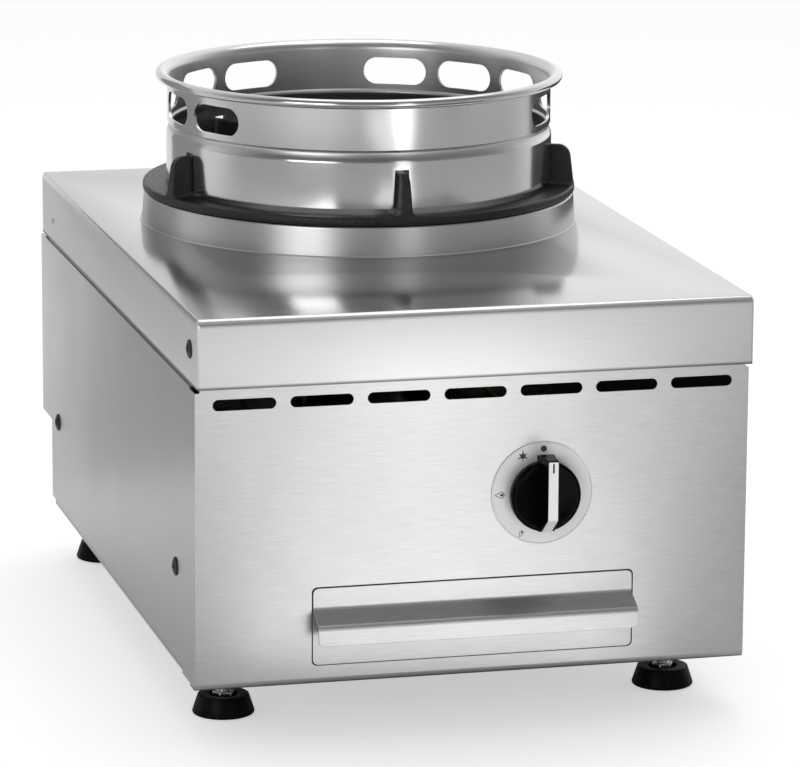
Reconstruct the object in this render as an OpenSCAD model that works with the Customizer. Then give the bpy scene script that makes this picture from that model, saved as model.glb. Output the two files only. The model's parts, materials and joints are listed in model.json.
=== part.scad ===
// Table-top wok burner: a gas burner in a stainless case, under a cast pan support and a wok ring.
// The origin is on the table under the middle of the burner's outline. The front faces -Y.

/* [Case] */
// Width of the case and of the top cover
case_w = 400; // [380:1:460]
// Depth of the top cover from front to back
cover_d = 600; // [580:1:680]
// Height of the top cover's flange
cover_h = 49; // [42:1:60]
// Height of the front panel below the top cover
front_h = 217; // [210:1:250]
// Height of the case above the table
case_z = 38; // [34:1:60]
// Thickness of the case sheet
sheet = 1.5; // [1:0.1:2]
// Outside radius of the sheet bends
bend_r = 5; // [3:0.5:7]
// Reach of the top cover past the front panel
cover_overhang = 9.5; // [5:0.5:14]
// Reach of the side panels past the back of the top cover
rear_reach = 5; // [2:0.5:10]
// Height of the gap between a side panel and the top cover
side_reveal = 2.5; // [2:0.5:10]
// Depth of the recess low on the back
recess_d = 38; // [34:1:50]
// Height of the recess low on the back
recess_h = 70; // [64:1:80]

/* [Vents] */
// Number of vents in a row
vent_count = 7; // [5:1:7]
// Distance of an end vent's middle from the side of the case
vent_side = 35; // [33:0.5:45]
// Metal between two vents
vent_web = 10; // [6:0.5:20]
// Height of a vent
vent_h = 8; // [5:0.5:10]
// Distance from the top cover's lower edge down to the vents
vent_drop = 13; // [10:0.5:18]

/* [Control knob] */
// Distance of the knob from the middle of the case
knob_x = 49; // [45:1:60]
// Height of the knob above the bottom of the case
knob_up = 129.5; // [125:0.5:140]
// Radius of the dial plate
dial_r = 37; // [30:0.5:42]
// Thickness of the dial plate
dial_t = 1.2; // [0.8:0.1:2]
// Radius of the knob's round base
knob_r = 25.3; // [22:0.1:28]
// Height of the knob's round base
knob_base_h = 7.5; // [6.5:0.5:10]
// Height of the knob with its grip
knob_h = 23.5; // [20:0.5:28]
// Width of the knob's grip at its root
grip_root_w = 12.6; // [9:0.2:14]
// Width of the knob's grip at its front
grip_front_w = 7.6; // [6.6:0.2:9]
// Depth of the scoop in the knob's round face
scoop_d = 2.5; // [0.5:0.1:4]
// Width of the silver insert on the grip
insert_w = 6; // [4:0.2:6.4]
// Travel of the knob when it is pushed
push_travel = 3.5; // [2:0.5:5]

/* [Drip tray] */
// Distance of the tray's front plate from the side of the case
tray_side = 84; // [75:1:95]
// Height of the tray's front plate
tray_front_h = 55.5; // [50:0.5:60]
// Height of the tray's front plate above the bottom of the case
tray_front_up = 14; // [12:0.5:18]
// Gap over and beside the tray's front plate
tray_gap = 1; // [0.8:0.1:2]
// Gap under the tray's front plate
tray_foot_gap = 0.4; // [0.3:0.1:2]
// Distance of the tray's back from the recess
tray_clear = 78; // [70:1:150]
// Height of the tray's walls
tray_h = 36; // [25:1:38]
// Thickness of the tray's sheet
tray_sheet = 1.2; // [0.8:0.1:1.5]
// Radius of the tray's corners
tray_corner_r = 8; // [3:0.5:20]
// Height of the strip above the handle's first fold
handle_strip = 15.5; // [10:0.5:18]
// Reach of the handle
handle_reach = 21.5; // [18:0.5:26]
// Fall of the handle's sloping part
handle_fall = 7.5; // [4:0.5:12]
// Height of the handle's lip
handle_lip = 14.5; // [12:0.5:20]

/* [Wok ring] */
// Distance of the ring's axis behind the middle of the top cover
ring_back = 52.5; // [40:0.5:60]
// Outside radius of the ring's wall
ring_r = 146; // [140:0.5:150]
// Thickness of the ring's wall
ring_wall = 2; // [1.5:0.1:2.5]
// Height of the ring
ring_h = 81.5; // [78:0.5:95]
// Radius of the rolled rim
rim_r = 3.5; // [3:0.1:4.5]
// Metal between two slots in the ring
slot_web = 11.2; // [8:0.2:20]
// Height of a slot in the ring
slot_h = 21; // [14:0.5:22]
// Angle from one slot to the next
slot_pitch = 24; // [23:0.5:25]
// Number of slots on each side of the ring
slot_count = 5; // [3:1:5]
// Height of the rolled groove
groove_h = 10.4; // [8:0.2:12]
// Depth of the rolled groove
groove_d = 1.5; // [1:0.1:2]
// Height of a notch in the ring's lower edge
notch_h = 27; // [24:0.5:28]
// Width of a notch at its top
notch_top_w = 10.5; // [9.5:0.5:12]
// Width of a notch at the ring's lower edge
notch_foot_w = 13; // [12.5:0.5:16]

/* [Pan support] */
// Reach of the pan support past the ring's wall
support_reach = 18; // [15:0.5:20]
// Reach of the pan support inside the ring's wall
support_inside = 28; // [22:1:40]
// Thickness of the pan support's ring
support_t = 6.4; // [5:0.2:8]
// Number of fins
fin_count = 5; // [4:1:6]
// Height of a fin above the pan support's ring
fin_h = 30; // [28:0.5:34]
// Thickness of a fin at its top
fin_top_w = 6; // [5:0.2:7]
// Thickness of a fin at the pan support's ring
fin_base_w = 9; // [8:0.2:10]
// Reach of a fin inside the pan support's ring
fin_inside = 43; // [33:1:50]
// Turn of the pan support and its ring on the drip collar, where they lie loose
support_turn = -1.3; // [-36:0.1:36]

/* [Drip collar] */
// Height of the drip collar
collar_h = 23; // [18:0.5:30]
// Flare of the collar at its foot
collar_flare = 1.5; // [1:0.5:6]
// Width of the ledge at the collar's top
collar_ledge = 14; // [10:0.5:18]

/* [Burner] */
// Radius of the burner head
burner_r = 88; // [80:1:92]
// Height of the burner head's seat above the mixing tube's axis
burner_seat_up = 94; // [90:1:100]
// Number of flame ports in the outer row
port_count = 36; // [24:2:48]
// Radius of a flame port
port_r = 2; // [1:0.1:2.5]
// Inside radius of the mixing tube's throat
mixer_r = 14; // [10:0.5:15]
// Radius of the gas pipes
pipe_r = 6; // [5:0.5:7]
// Radius of the gas inlet's thread
inlet_r = 10.48; // [9:0.01:11]
// Distance of the gas inlet from the side of the case
inlet_side = 50; // [42:1:55]

/* [Feet] */
// Radius of a foot at the table
foot_r = 22.3; // [18:0.1:25]
// Radius of a foot at its top
foot_top_r = 18.5; // [15:0.1:20]
// Height of a foot's pad
foot_h = 14; // [12:0.5:20]
// Distance of a foot's axis from the side of the case
foot_inset = 36; // [34:1:50]
// Distance of a front foot behind the front panel
foot_front = 75; // [70:1:110]
// Distance of a rear foot from the recess
foot_rear = 26.7; // [24:0.1:70]
// Radius of a foot's stud
stud_r = 5; // [4:0.5:6]
// Travel of a foot when it is screwed out
level_travel = 12; // [6:1:16]

/* [Hidden] */
$fn = 96;
// Overrun of every cut
over = 1;
// Gap between flat faces that rest on each other and move apart
seat_gap = 0.2;
// Gap between sheets that lie beside each other
fit_gap = 0.3;
// Radial clearance of a turning or sliding shaft
run_gap = 0.05;
// Radial clearance of a screw or a probe in its hole
hole_gap = 0.2;

// Main planes of the case
knob_clear = 1.05;
dial_gap = push_travel + knob_clear;
knob_reach = dial_t + dial_gap + knob_h;
body_d = cover_d - cover_overhang + rear_reach;
front_y = (knob_reach - body_d)/2;
cover_front_y = front_y - cover_overhang;
cover_rear_y = cover_front_y + cover_d;
case_rear_y = cover_rear_y + rear_reach;
rear_y = cover_rear_y - sheet - fit_gap;
recess_y = rear_y - recess_d;
cover_z = case_z + front_h;
cover_top = cover_z + cover_h;
cover_inside_r = 1;
cover_side_r = sheet + cover_inside_r;
cover_front_r = 6;
side_top = cover_z - side_reveal;
recess_top = case_z + recess_h;
under_cover = cover_top - sheet;
inner_w = case_w - 2*sheet;
upstand_x = case_w/2 - sheet - fit_gap;
upstand_in = upstand_x - sheet;
flange_w = 16;
front_return = 18;
notch_lap = side_top - sheet;
vent_pitch = (case_w - 2*vent_side)/(vent_count - 1);
vent_l = vent_pitch - vent_web;

// Base pan and the corner at the foot of a side panel
pan_z = case_z + sheet;
pan_top = pan_z + sheet;
pan_flange = 20;
side_tab = 45;
side_tab_rise = 5.6;
side_z = case_z + sheet;

// Case screws
screw_head_r = 6.7;
screw_head_h = 2.6;
screw_r = 2.5;
screw_l = 9;
dome_sag_share = 0.65;
dome_sag = screw_head_h*dome_sag_share;
dome_r = (screw_head_r*screw_head_r + dome_sag*dome_sag)/(2*dome_sag);
drive_l = 7;
drive_w = 1.5;
drive_d = 1.4;
cover_screw_inset = 24.5;
cover_screw_z = cover_z + cover_h/2;

// Locating pins at the rear of the top cover
cover_pin_inset = 46.8;
cover_pin_z = cover_z + cover_h/3;
cover_pin_r = 1.5;
cover_pin_head_r = 2.6;
cover_pin_head_h = 0.8;
cover_pin_l = 4;

// Crossbars between the side panels
bar_w = 30;
bar_h = 18;
bar_lap = 4.5;
bar_setback = 66;
rear_bar_clear = 24.7;
bar_z = case_z + tray_front_up + tray_front_h - bar_lap;
bar_top = bar_z + bar_h;
bar_y = front_y + bar_setback;
rear_bar_y = recess_y - rear_bar_clear;
side_screw_z = bar_z + bar_h/2;

// Drip tray and its runners
tray_front_z = case_z + tray_front_up;
opening_r = 4;
tray_lap = 5;
tray_front_w = case_w - 2*tray_side;
tray_w = tray_front_w - 2*tray_lap;
runner_shelf = 9;
runner_z = tray_front_z + sheet;
tray_z = runner_z + sheet + seat_gap;
tray_y = front_y + 2*tray_sheet;
tray_d = recess_y - tray_clear - tray_y;
runner_x = tray_w/2 + fit_gap;
runner_front = front_y + front_return + fit_gap;
runner_rear = rear_bar_y + bar_w/2;
handle_fold_r = 4.5;
handle_top = tray_front_z + tray_front_h;

// Radii and heights above the top cover
ring_y = cover_front_y + cover_d/2 + ring_back;
slot_l = PI*ring_r*slot_pitch/180 - slot_web;
support_r = ring_r + support_reach;
support_bore_r = ring_r - support_inside;
fin_inner_r = support_bore_r - fin_inside;
collar_inset = 0.8;
collar_top_r = support_r - collar_inset;
collar_foot_r = collar_top_r + collar_flare;
throat_r = collar_top_r - collar_ledge;
collar_t = 1.2;
collar_edge = 2;
collar_foot_rise = 9;
collar_lip = 1.2;
collar_top = cover_top + collar_h;
support_z = collar_top + seat_gap;
support_top = support_z + support_t;
fin_top = support_top + fin_h;
fin_fillet = 3;
fin_edge = 1;
fin_end = 0.5;
fin_slope = 3;
fin_round = 9.5;
fin_inner_h = 14;
fin_inner_run = 25;
ring_z = fin_top + seat_gap - notch_h;
groove_share = 0.465;
groove_z = ring_z + ring_h*groove_share;
slot_lift = 4;
slot_z = groove_z + groove_h/2 + slot_lift + slot_h/2;
flare_share = 1.8;
flare_r = rim_r*flare_share;
rim_open_share = 1.3;
slot_cut = 5*ring_wall;

// Spill funnel
funnel_t = 1.2;
funnel_lap = 8;
funnel_in = 25;
funnel_r = throat_r - funnel_in;
funnel_drop = 54;

// Burner
rail_x = 42;
rail_w = 20;
rail_t = 3;
rail_top = bar_top + rail_t;
burner_wall = 5;
throat_in_r = 20;
mixer_z = case_z + knob_up;
mixer_wall = 3;
mixer_flare = 5;
mouth_flare = 7;
mixer_end_r = mixer_r + mixer_flare;
mixer_mouth_r = mixer_r + mouth_flare;
mixer_flange_r = 30;
mixer_flange_t = 6;
stub_l = 62;
burner_seat = mixer_z + burner_seat_up;
bowl_h = 52;
bowl_turn_share = 2/3;
bowl_turn = bowl_h*bowl_turn_share;
bowl_arc = 45;
bowl_z = burner_seat - bowl_h;
head_h = 28;
head_top = burner_seat + seat_gap + head_h;
head_wall = 4;
head_slope = 16;
spigot_r = burner_r - burner_wall - fit_gap;
cap_r = 44;
cap_lip = 6;
cap_h = 9;
cap_arc = 80;
port_tilt = 60;
burner_leg_r = 8;

// Mixing tube, air shutter and injector, along the line of the burner's stub
air_gap = 16;
shutter_wall = 1.5;
shutter_lap = 14;
shutter_l = air_gap + shutter_lap;
shutter_r = mixer_mouth_r + mixer_wall + hole_gap + shutter_wall;
shutter_windows = 4;
holder_r = 11;
holder_l = 22;
injector_r = 5;
injector_l = 12;
injector_bore_r = 1.2;

// Knob
knob_back = front_y - dial_t - dial_gap;
knob_edge = 2.5;
grip_past = 4.2;
grip_top = knob_r + grip_past;
grip_cut = 12;
scoop_span = knob_r - knob_edge;
scoop_r = (scoop_span*scoop_span + scoop_d*scoop_d)/(2*scoop_d);
insert_t = 0.8;
dial_rim = 0.8;
dial_dish = 0.4;

// Gas valve behind the front panel
knob_z = case_z + knob_up;
bracket_y = front_y + front_return + fit_gap;
bracket_t = 2;
bracket_w = 76;
bracket_rise = 52;
bracket_top = knob_z + bracket_rise;
valve_y = bracket_y + bracket_t;
valve_body_r = 15;
valve_body_l = 46;
valve_nose_r = 9;
valve_nose_l = 12;
magnet_r = 9;
magnet_l = 22;
boss_r = 9;
boss_reach = 24;
boss_y = valve_y + valve_body_l/2;
valve_nut_r = 15;
valve_nut_t = 5;
spindle_r = 4;
spindle_depth = 24;
spindle_flat = 2.4;
pin_r = 2.5;
pin_l = 14;
spindle_rear = valve_y + spindle_depth;
panel_hole_r = 12;
pipe_bend = 16;
supply_leg = 30;
holder_y = boss_y + pipe_bend + supply_leg;
mixer_front = holder_y + holder_l + air_gap;
mixer_rear = ring_y - stub_l;
mixer_l = mixer_rear - mixer_front;
mouth_l = mixer_l/8;
neck_y = mixer_l/3;
pilot_boss_r = 5;
pilot_boss_h = 8;

// Pilot group beside the burner head
pilot_r = 6;
pilot_h = 50;
pilot_pipe_r = 2;
pilot_bend = 10;
probe_r = 3;
probe_h = 62;
probe_collar_r = 5;
probe_collar_h = 3;
electrode_r = 3.6;
electrode_h = 44;
electrode_tip_r = 1;
electrode_tip_h = 14;
pilot_dx = 8;
pilot_x = knob_x + pilot_dx;
pilot_y = ring_y - burner_r + pilot_dx;
probe_y = pilot_y - 2*pilot_dx;
electrode_dx = 18;
electrode_x = knob_x - electrode_dx;
plate_t = 2;
plate_z = bowl_z + 2*pilot_dx;
lug_w = 44;
lug_h = 8;
lug_x = pilot_x + pilot_dx - lug_w;
lug_y = pilot_y + pilot_r;
lead_r = 2.2;
piezo_r = 9;
piezo_l = 46;
piezo_up = 38;
piezo_z = knob_z + piezo_up;
pilot_run_z = knob_z + valve_body_r + pilot_boss_h + pilot_pipe_r + pilot_bend;

// Gas inlet at the back
inlet_x = case_w/2 - inlet_side;
inlet_z = case_z + recess_h/2;
inlet_l = 20;
inlet_hex_r = 16;
clamp_r = inlet_r + sheet;
inlet_inside = 26;
inlet_nut_t = 6;

// Feet
bush_r = 9;
bush_h = 12;
stud_hex_r = 8.2;
stud_hex_h = 7;
pad_recess_r = 10.5;
pad_recess_d = 5;
stud_top = pan_top + bush_h/2 + level_travel;
foot_places = [for (side = [-1, 1], y = [front_y + foot_front, recess_y - foot_rear])
    [side*(case_w/2 - foot_inset), y]];

steel = "#c9cacb";
bright_steel = "#dcdddd";
iron = "#2a2a2b";
brass = "#b8964e";
zinc = "#9a9ea2";
black = "#161617";

// Points along an arc from one angle to another
function arc_points(c, r, a0, a1, n) =
    [for (i = [0:n]) c + r*[cos(a0 + (a1 - a0)*i/n), sin(a0 + (a1 - a0)*i/n)]];

// Extrudes a side outline, drawn in Y and Z, across the width
module across(w) {
    rotate([90, 0, 90]) linear_extrude(w, center = true) children();
}

// Extrudes a front outline, drawn in X and Z, from front to back
module deep(d) {
    translate([0, d, 0]) rotate([90, 0, 0]) linear_extrude(d) children();
}

// Lays a solid of revolution along +Y
module along_y() {
    rotate([-90, 0, 0]) children();
}

// Rectangle with round corners
module round_rect(w, h, r) {
    translate([r, 0]) square([w - 2*r, h]);
    translate([0, r]) square([w, h - 2*r]);
    for (x = [r, w - r], y = [r, h - r])
        translate([x, y]) circle(r);
}

// Rectangle with round upper corners, centred on its lower edge
module top_round(w, h, r) {
    translate([-w/2, 0]) square([w, h - r]);
    translate([r - w/2, 0]) square([w - 2*r, h]);
    for (x = [r - w/2, w/2 - r])
        translate([x, h - r]) circle(r);
}

// Section of a folded channel whose web lies at the left
module channel(depth, h, t, r) {
    intersection() {
        square([depth, h]);
        difference() {
            round_rect(2*depth, h, r);
            translate([t, t]) round_rect(2*depth - 2*t, h - 2*t, max(r - t, t/4));
        }
    }
}

// Section of a folded angle with its web at the left and its flange at the top
module corner_angle(depth, h, t, r) {
    translate([0, h]) mirror([0, 1]) intersection() {
        square([depth, h]);
        channel(depth, 2*h, t, r);
    }
}

// Hole with round ends through a sheet, along Y
module long_hole(l, h, t) {
    translate([0, -over, 0]) deep(t + 2*over) {
        square([l - h, h], center = true);
        for (x = [-1, 1])
            translate([x*(l - h)/2, 0]) circle(h/2);
    }
}

// Row of vents through a sheet whose outer face is at y
module vent_row(y, t) {
    for (i = [0:vent_count - 1])
        translate([(i - (vent_count - 1)/2)*vent_pitch, y, cover_z - vent_drop]) long_hole(vent_l, vent_h, t);
}

// Round pipe that starts along +Z and turns a quarter between its straight legs
module bent_pipe(legs, rolls, r, bend) {
    cylinder(h = legs[0], r = r);
    if (len(legs) > 1)
        translate([0, 0, legs[0]]) rotate([0, 0, rolls[0]]) {
            translate([bend, 0, 0]) rotate([90, 0, 0]) rotate([0, 0, 90])
                rotate_extrude(angle = 90) translate([bend, 0]) circle(r);
            translate([bend, 0, bend]) rotate([0, 90, 0])
                bent_pipe([for (i = [1:len(legs) - 1]) legs[i]],
                    [for (i = [1:len(legs) - 1]) i < len(rolls) ? rolls[i] : 0], r, bend);
        }
}

// Round-headed screw, its head on +Z
module pan_screw() {
    difference() {
        rotate_extrude() intersection() {
            square([screw_head_r, screw_head_h]);
            translate([0, screw_head_h - dome_r]) circle(dome_r);
        }
        for (turn = [0, 90])
            rotate([0, 0, turn]) translate([-drive_l/2, -drive_w/2, screw_head_h - drive_d])
                cube([drive_l, drive_w, drive_d + over]);
    }
    translate([0, 0, -screw_l]) cylinder(h = screw_l, r = screw_r);
}

// Places of the cover screws, the cover pins and the side screws, as Y and Z
cover_screw_places = [[cover_front_y + cover_screw_inset, cover_screw_z]];
cover_pin_places = [[cover_rear_y - cover_pin_inset, cover_pin_z]];
side_screw_places = [for (y = [bar_y, rear_bar_y]) [y, side_screw_z]];

// Holes along X for screws or pins of radius r at the given places
module screw_holes(places, r) {
    for (p = places)
        translate([-case_w, p[0], p[1]]) rotate([0, 90, 0]) cylinder(h = 2*case_w, r = r + hole_gap);
}

// Holes along X for every cover screw and cover pin
module cover_holes() {
    screw_holes(cover_screw_places, screw_r);
    screw_holes(cover_pin_places, cover_pin_r);
}

// A fixing on each side of the case at the given places
module on_both_sides(places) {
    for (side = [-1, 1], p = places)
        translate([side*case_w/2, p[0], p[1]]) rotate([0, side*90, 0]) children();
}

module base_pan() color(steel) difference() {
    translate([0, front_y + bend_r, 0]) deep(recess_y - sheet - front_y - bend_r) {
        translate([-inner_w/2, pan_z]) square([inner_w, sheet]);
        for (x = [-inner_w/2, inner_w/2 - sheet])
            translate([x, pan_z]) square([sheet, pan_flange]);
    }
    for (p = foot_places)
        translate([p[0], p[1], pan_z - over]) cylinder(h = sheet + 2*over, r = stud_r + fit_gap);
}

// Corners cut from a panel so that its upper part fits inside the top cover and its bends
module cover_corners(y0, y1) {
    for (side = [0, 1], cut = [[upstand_in, notch_lap], [upstand_in - bend_r, under_cover - bend_r]])
        mirror([side, 0, 0]) translate([cut[0], y0, cut[1]])
            cube([case_w/2 - cut[0] + over, y1 - y0, cover_top - cut[1]]);
}

module front_panel() color(steel) difference() {
    translate([0, front_y, case_z]) across(case_w) channel(front_return, under_cover - case_z, sheet, bend_r);
    cover_corners(front_y - over, front_y + front_return + over);
    vent_row(front_y, sheet);
    translate([knob_x, front_y - over, knob_z]) along_y() cylinder(h = sheet + 2*over, r = panel_hole_r);
    translate([-tray_front_w/2 - tray_gap, front_y - over, tray_front_z - tray_foot_gap]) deep(sheet + 2*over)
        round_rect(tray_front_w + 2*tray_gap, tray_front_h + tray_gap + tray_foot_gap, opening_r);
}

// Section of the right side panel: plate, inward jog, upstand behind the cover's flange and top flange
module side_section() {
    translate([case_w/2 - sheet, side_z]) square([sheet, side_top - side_z]);
    translate([upstand_in, side_top - sheet]) square([case_w/2 - upstand_in, sheet]);
    translate([upstand_x, side_top - sheet]) mirror([1, 0])
        corner_angle(flange_w, under_cover - side_top + sheet, sheet, bend_r - sheet);
}

// Outline of a side panel, with the tab at its front foot and the recess low at its back
module side_outline() {
    y0 = front_y + sheet;
    polygon([[y0, case_z + bend_r], [front_y + bend_r, side_z], [front_y + side_tab, side_z],
        [front_y + side_tab, side_z + side_tab_rise], [recess_y + rear_reach, side_z + side_tab_rise],
        [recess_y + rear_reach, recess_top], [case_rear_y, recess_top], [case_rear_y, side_top],
        [rear_y - flange_w - fit_gap, side_top], [rear_y - flange_w - fit_gap, cover_top],
        [front_y + front_return, cover_top], [front_y + front_return, notch_lap], [y0, notch_lap]]);
}

module right_side_panel() color(steel) difference() {
    intersection() {
        translate([0, front_y, 0]) deep(body_d) side_section();
        translate([case_w/2, 0, 0]) across(case_w) side_outline();
    }
    cover_holes();
    screw_holes(side_screw_places, screw_r);
}

module left_side_panel() mirror([1, 0, 0]) right_side_panel();

module rear_panel() color(steel) difference() {
    across(inner_w) {
        translate([rear_y, recess_top]) mirror([1, 0])
            corner_angle(flange_w, under_cover - recess_top, sheet, cover_front_r - sheet);
        translate([recess_y - sheet, recess_top]) square([recess_d + sheet, sheet]);
        translate([recess_y - sheet, pan_z]) square([sheet, recess_top - pan_z]);
    }
    cover_corners(rear_y - flange_w - over, rear_y + over);
    vent_row(rear_y - sheet, sheet);
    translate([inlet_x, recess_y - sheet - over, inlet_z])
        along_y() cylinder(h = sheet + 2*over, r = clamp_r + hole_gap);
}

// Solid outside form of the top cover, with a wide bend at its front and back and tight ones at its sides
module cover_block(w, d, h, side_r, front_r) {
    intersection() {
        translate([0, -d/2, 0]) deep(d) top_round(w, h, side_r);
        across(w) top_round(d, h, front_r);
    }
}

module top_cover() color(steel) difference() {
    translate([0, (cover_front_y + cover_rear_y)/2, cover_z]) difference() {
        cover_block(case_w, cover_d, cover_h, cover_side_r, cover_front_r);
        translate([0, 0, -over])
            cover_block(inner_w, cover_d - 2*sheet, cover_h - sheet + over, cover_side_r - sheet,
                cover_front_r - sheet);
    }
    translate([0, ring_y, cover_z]) cylinder(h = cover_h + over, r = throat_r);
    cover_holes();
}

module cover_screws() color(iron) on_both_sides(cover_screw_places) pan_screw();

// Pins with a low head that hold the rear of the top cover
module cover_pins() color(steel) on_both_sides(cover_pin_places) {
    cylinder(h = cover_pin_head_h, r1 = cover_pin_head_r, r2 = cover_pin_r);
    translate([0, 0, -cover_pin_l]) cylinder(h = cover_pin_l, r = cover_pin_r);
}

module side_screws() color(iron) on_both_sides(side_screw_places) pan_screw();

// Channel between the side panels, with turned-up ends that take the side screws
module crossbar(y) {
    difference() {
        translate([0, y - bar_w/2, bar_z]) {
            translate([-inner_w/2, 0, bar_h - sheet]) cube([inner_w, bar_w, sheet]);
            for (dy = [0, bar_w - sheet])
                translate([-inner_w/2, dy, 0]) cube([inner_w, sheet, bar_h]);
            for (x = [-inner_w/2, inner_w/2 - sheet])
                translate([x, 0, 0]) cube([sheet, bar_w, bar_h]);
        }
        screw_holes(side_screw_places, screw_r);
    }
}

module front_crossbar() color(zinc) crossbar(bar_y);

module rear_crossbar() color(zinc) crossbar(rear_bar_y);

// Angle hung under the crossbars, with a shelf that the tray slides on
module right_tray_runner() color(zinc) translate([0, runner_front, 0]) deep(runner_rear - runner_front) {
    translate([runner_x, runner_z]) square([sheet, bar_z - runner_z]);
    translate([runner_x - runner_shelf, runner_z]) square([runner_shelf, sheet]);
    translate([runner_x, bar_z - sheet]) square([runner_shelf, sheet]);
}

module left_tray_runner() mirror([1, 0, 0]) right_tray_runner();

// Pressed skirt between the top cover and the pan support
module drip_collar() color(bright_steel) translate([0, ring_y, cover_top]) rotate_extrude() polygon(concat(
    [[throat_r, collar_h]],
    arc_points([collar_top_r - collar_edge, collar_h - collar_edge], collar_edge, 90, 0, 6),
    [[collar_top_r, collar_foot_rise], [collar_foot_r, collar_t], [collar_foot_r + collar_lip, collar_t],
        [collar_foot_r + collar_lip, 0], [collar_foot_r - collar_t, 0],
        [collar_top_r - collar_t, collar_foot_rise]],
    arc_points([collar_top_r - collar_edge, collar_h - collar_edge], collar_edge - collar_t, 0, 90, 6),
    [[throat_r, collar_h - collar_t]]));

// Cone that leads spills from the throat down to the tray
module spill_funnel() color(steel) translate([0, ring_y, cover_top]) rotate_extrude() polygon([
    [throat_r + funnel_lap, 0], [throat_r + funnel_lap, funnel_t], [throat_r - 2*funnel_t, funnel_t],
    [funnel_r, -funnel_drop], [funnel_r + funnel_t, -funnel_drop], [throat_r - funnel_t, 0]]);

module burner_rails() color(zinc)
    for (side = [-1, 1])
        translate([side*rail_x - rail_w/2, bar_y - bar_w/2, bar_top])
            cube([rail_w, rear_bar_y - bar_y + bar_w, rail_t]);

// Outside of the burner's bowl, from its throat to its rim
module bowl_section(grow) {
    polygon(concat(
        [[0, mixer_z - throat_in_r - grow], [throat_in_r + grow, mixer_z - throat_in_r - grow],
            [throat_in_r + grow, bowl_z]],
        arc_points([throat_in_r + grow, bowl_z + bowl_turn], bowl_turn, 270, 270 + bowl_arc, 6),
        [[burner_r - burner_wall + grow, bowl_z + bowl_turn], [burner_r - burner_wall + grow, burner_seat],
            [0, burner_seat]]));
}

module burner_body() color(iron) translate([0, ring_y, 0]) difference() {
    union() {
        rotate_extrude() bowl_section(burner_wall);
        translate([0, -stub_l, mixer_z]) along_y() cylinder(h = stub_l, r = mixer_end_r + mixer_wall);
        translate([0, -stub_l, mixer_z]) along_y() cylinder(h = mixer_flange_t, r = mixer_flange_r);
        for (x = [-1, 1], y = [-1, 1])
            translate([x*rail_x, y*rail_x, rail_top])
                cylinder(h = bowl_z + bowl_turn - rail_top, r = burner_leg_r);
        translate([lug_x, lug_y - ring_y, plate_z - lug_h]) cube([lug_w, ring_y - lug_y - rail_x, lug_h]);
    }
    translate([0, 0, over]) rotate_extrude() bowl_section(0);
    translate([0, 0, burner_seat - over]) cylinder(h = 2*over, r = burner_r - burner_wall);
    translate([0, -stub_l - over, mixer_z]) along_y() cylinder(h = stub_l + over, r = mixer_end_r);
}

// Flame ring with a sloping face full of ports, open in the middle
module burner_head() color(iron) translate([0, ring_y, burner_seat + seat_gap]) difference() {
    rotate_extrude() polygon([
        [spigot_r - head_wall, -head_wall], [spigot_r, -head_wall], [spigot_r, 0], [burner_r, 0],
        [burner_r, head_wall],
        [burner_r - head_slope, head_h], [cap_r - cap_lip, head_h], [cap_r - cap_lip, head_h - head_wall],
        [burner_r - head_slope - head_wall, head_h - head_wall],
        [spigot_r - head_wall, 0]]);
    for (i = [0:port_count - 1])
        rotate([0, 0, (i + 1/2)*360/port_count]) {
            translate([burner_r - head_slope/2, 0, head_h/2]) rotate([0, port_tilt, 0])
                cylinder(h = 2*head_slope, r = port_r, center = true);
            translate([(burner_r - head_slope + cap_r)/2, 0, head_h - head_wall - over])
                cylinder(h = head_wall + 2*over, r = port_r);
        }
}

module burner_cap() color(iron) translate([0, ring_y, head_top + seat_gap]) rotate_extrude() polygon(concat(
    [[0, -head_wall], [cap_r - cap_lip - fit_gap, -head_wall], [cap_r - cap_lip - fit_gap, 0], [cap_r, 0]],
    arc_points([cap_r - cap_h, 0], cap_h, 0, cap_arc, 6), [[0, cap_h]]));

// Venturi between the air shutter and the burner's stub
module mixing_tube() color(iron) translate([0, mixer_front, mixer_z]) along_y() rotate_extrude() polygon([
    [mixer_mouth_r, 0], [mixer_mouth_r + mixer_wall, 0], [mixer_mouth_r + mixer_wall, mouth_l],
    [mixer_r + mixer_wall, neck_y], [mixer_end_r + mixer_wall, mixer_l - mixer_flange_t],
    [mixer_flange_r, mixer_l - mixer_flange_t], [mixer_flange_r, mixer_l], [mixer_end_r, mixer_l],
    [mixer_r, neck_y], [mixer_mouth_r, mouth_l]]);

// Cup over the mixing tube's mouth, with windows for the air
module air_shutter() color(zinc) translate([0, mixer_front - air_gap, mixer_z]) along_y() difference() {
    cylinder(h = shutter_l, r = shutter_r);
    translate([0, 0, shutter_wall]) cylinder(h = shutter_l, r = shutter_r - shutter_wall);
    translate([0, 0, -over]) cylinder(h = 2*shutter_wall + over, r = injector_r + hole_gap);
    for (i = [0:shutter_windows - 1])
        rotate([0, 0, i*360/shutter_windows]) translate([0, -air_gap/4, 2*shutter_wall])
            cube([shutter_r + over, air_gap/2, air_gap/2]);
}

module injector() color(brass) translate([0, holder_y + holder_l, mixer_z]) along_y() difference() {
    cylinder(h = injector_l, r = injector_r);
    translate([0, 0, -over]) cylinder(h = injector_l + 2*over, r = injector_bore_r);
}

module injector_holder() color(brass) translate([0, holder_y, mixer_z]) along_y()
    cylinder(h = holder_l, r = holder_r, $fn = 6);

// Pipe from the valve's left boss to the injector holder
module supply_pipe() color(zinc) translate([knob_x - boss_reach, boss_y, knob_z]) rotate([0, -90, 0])
    bent_pipe([knob_x - boss_reach - pipe_bend, supply_leg], [90], pipe_r, pipe_bend);

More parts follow.
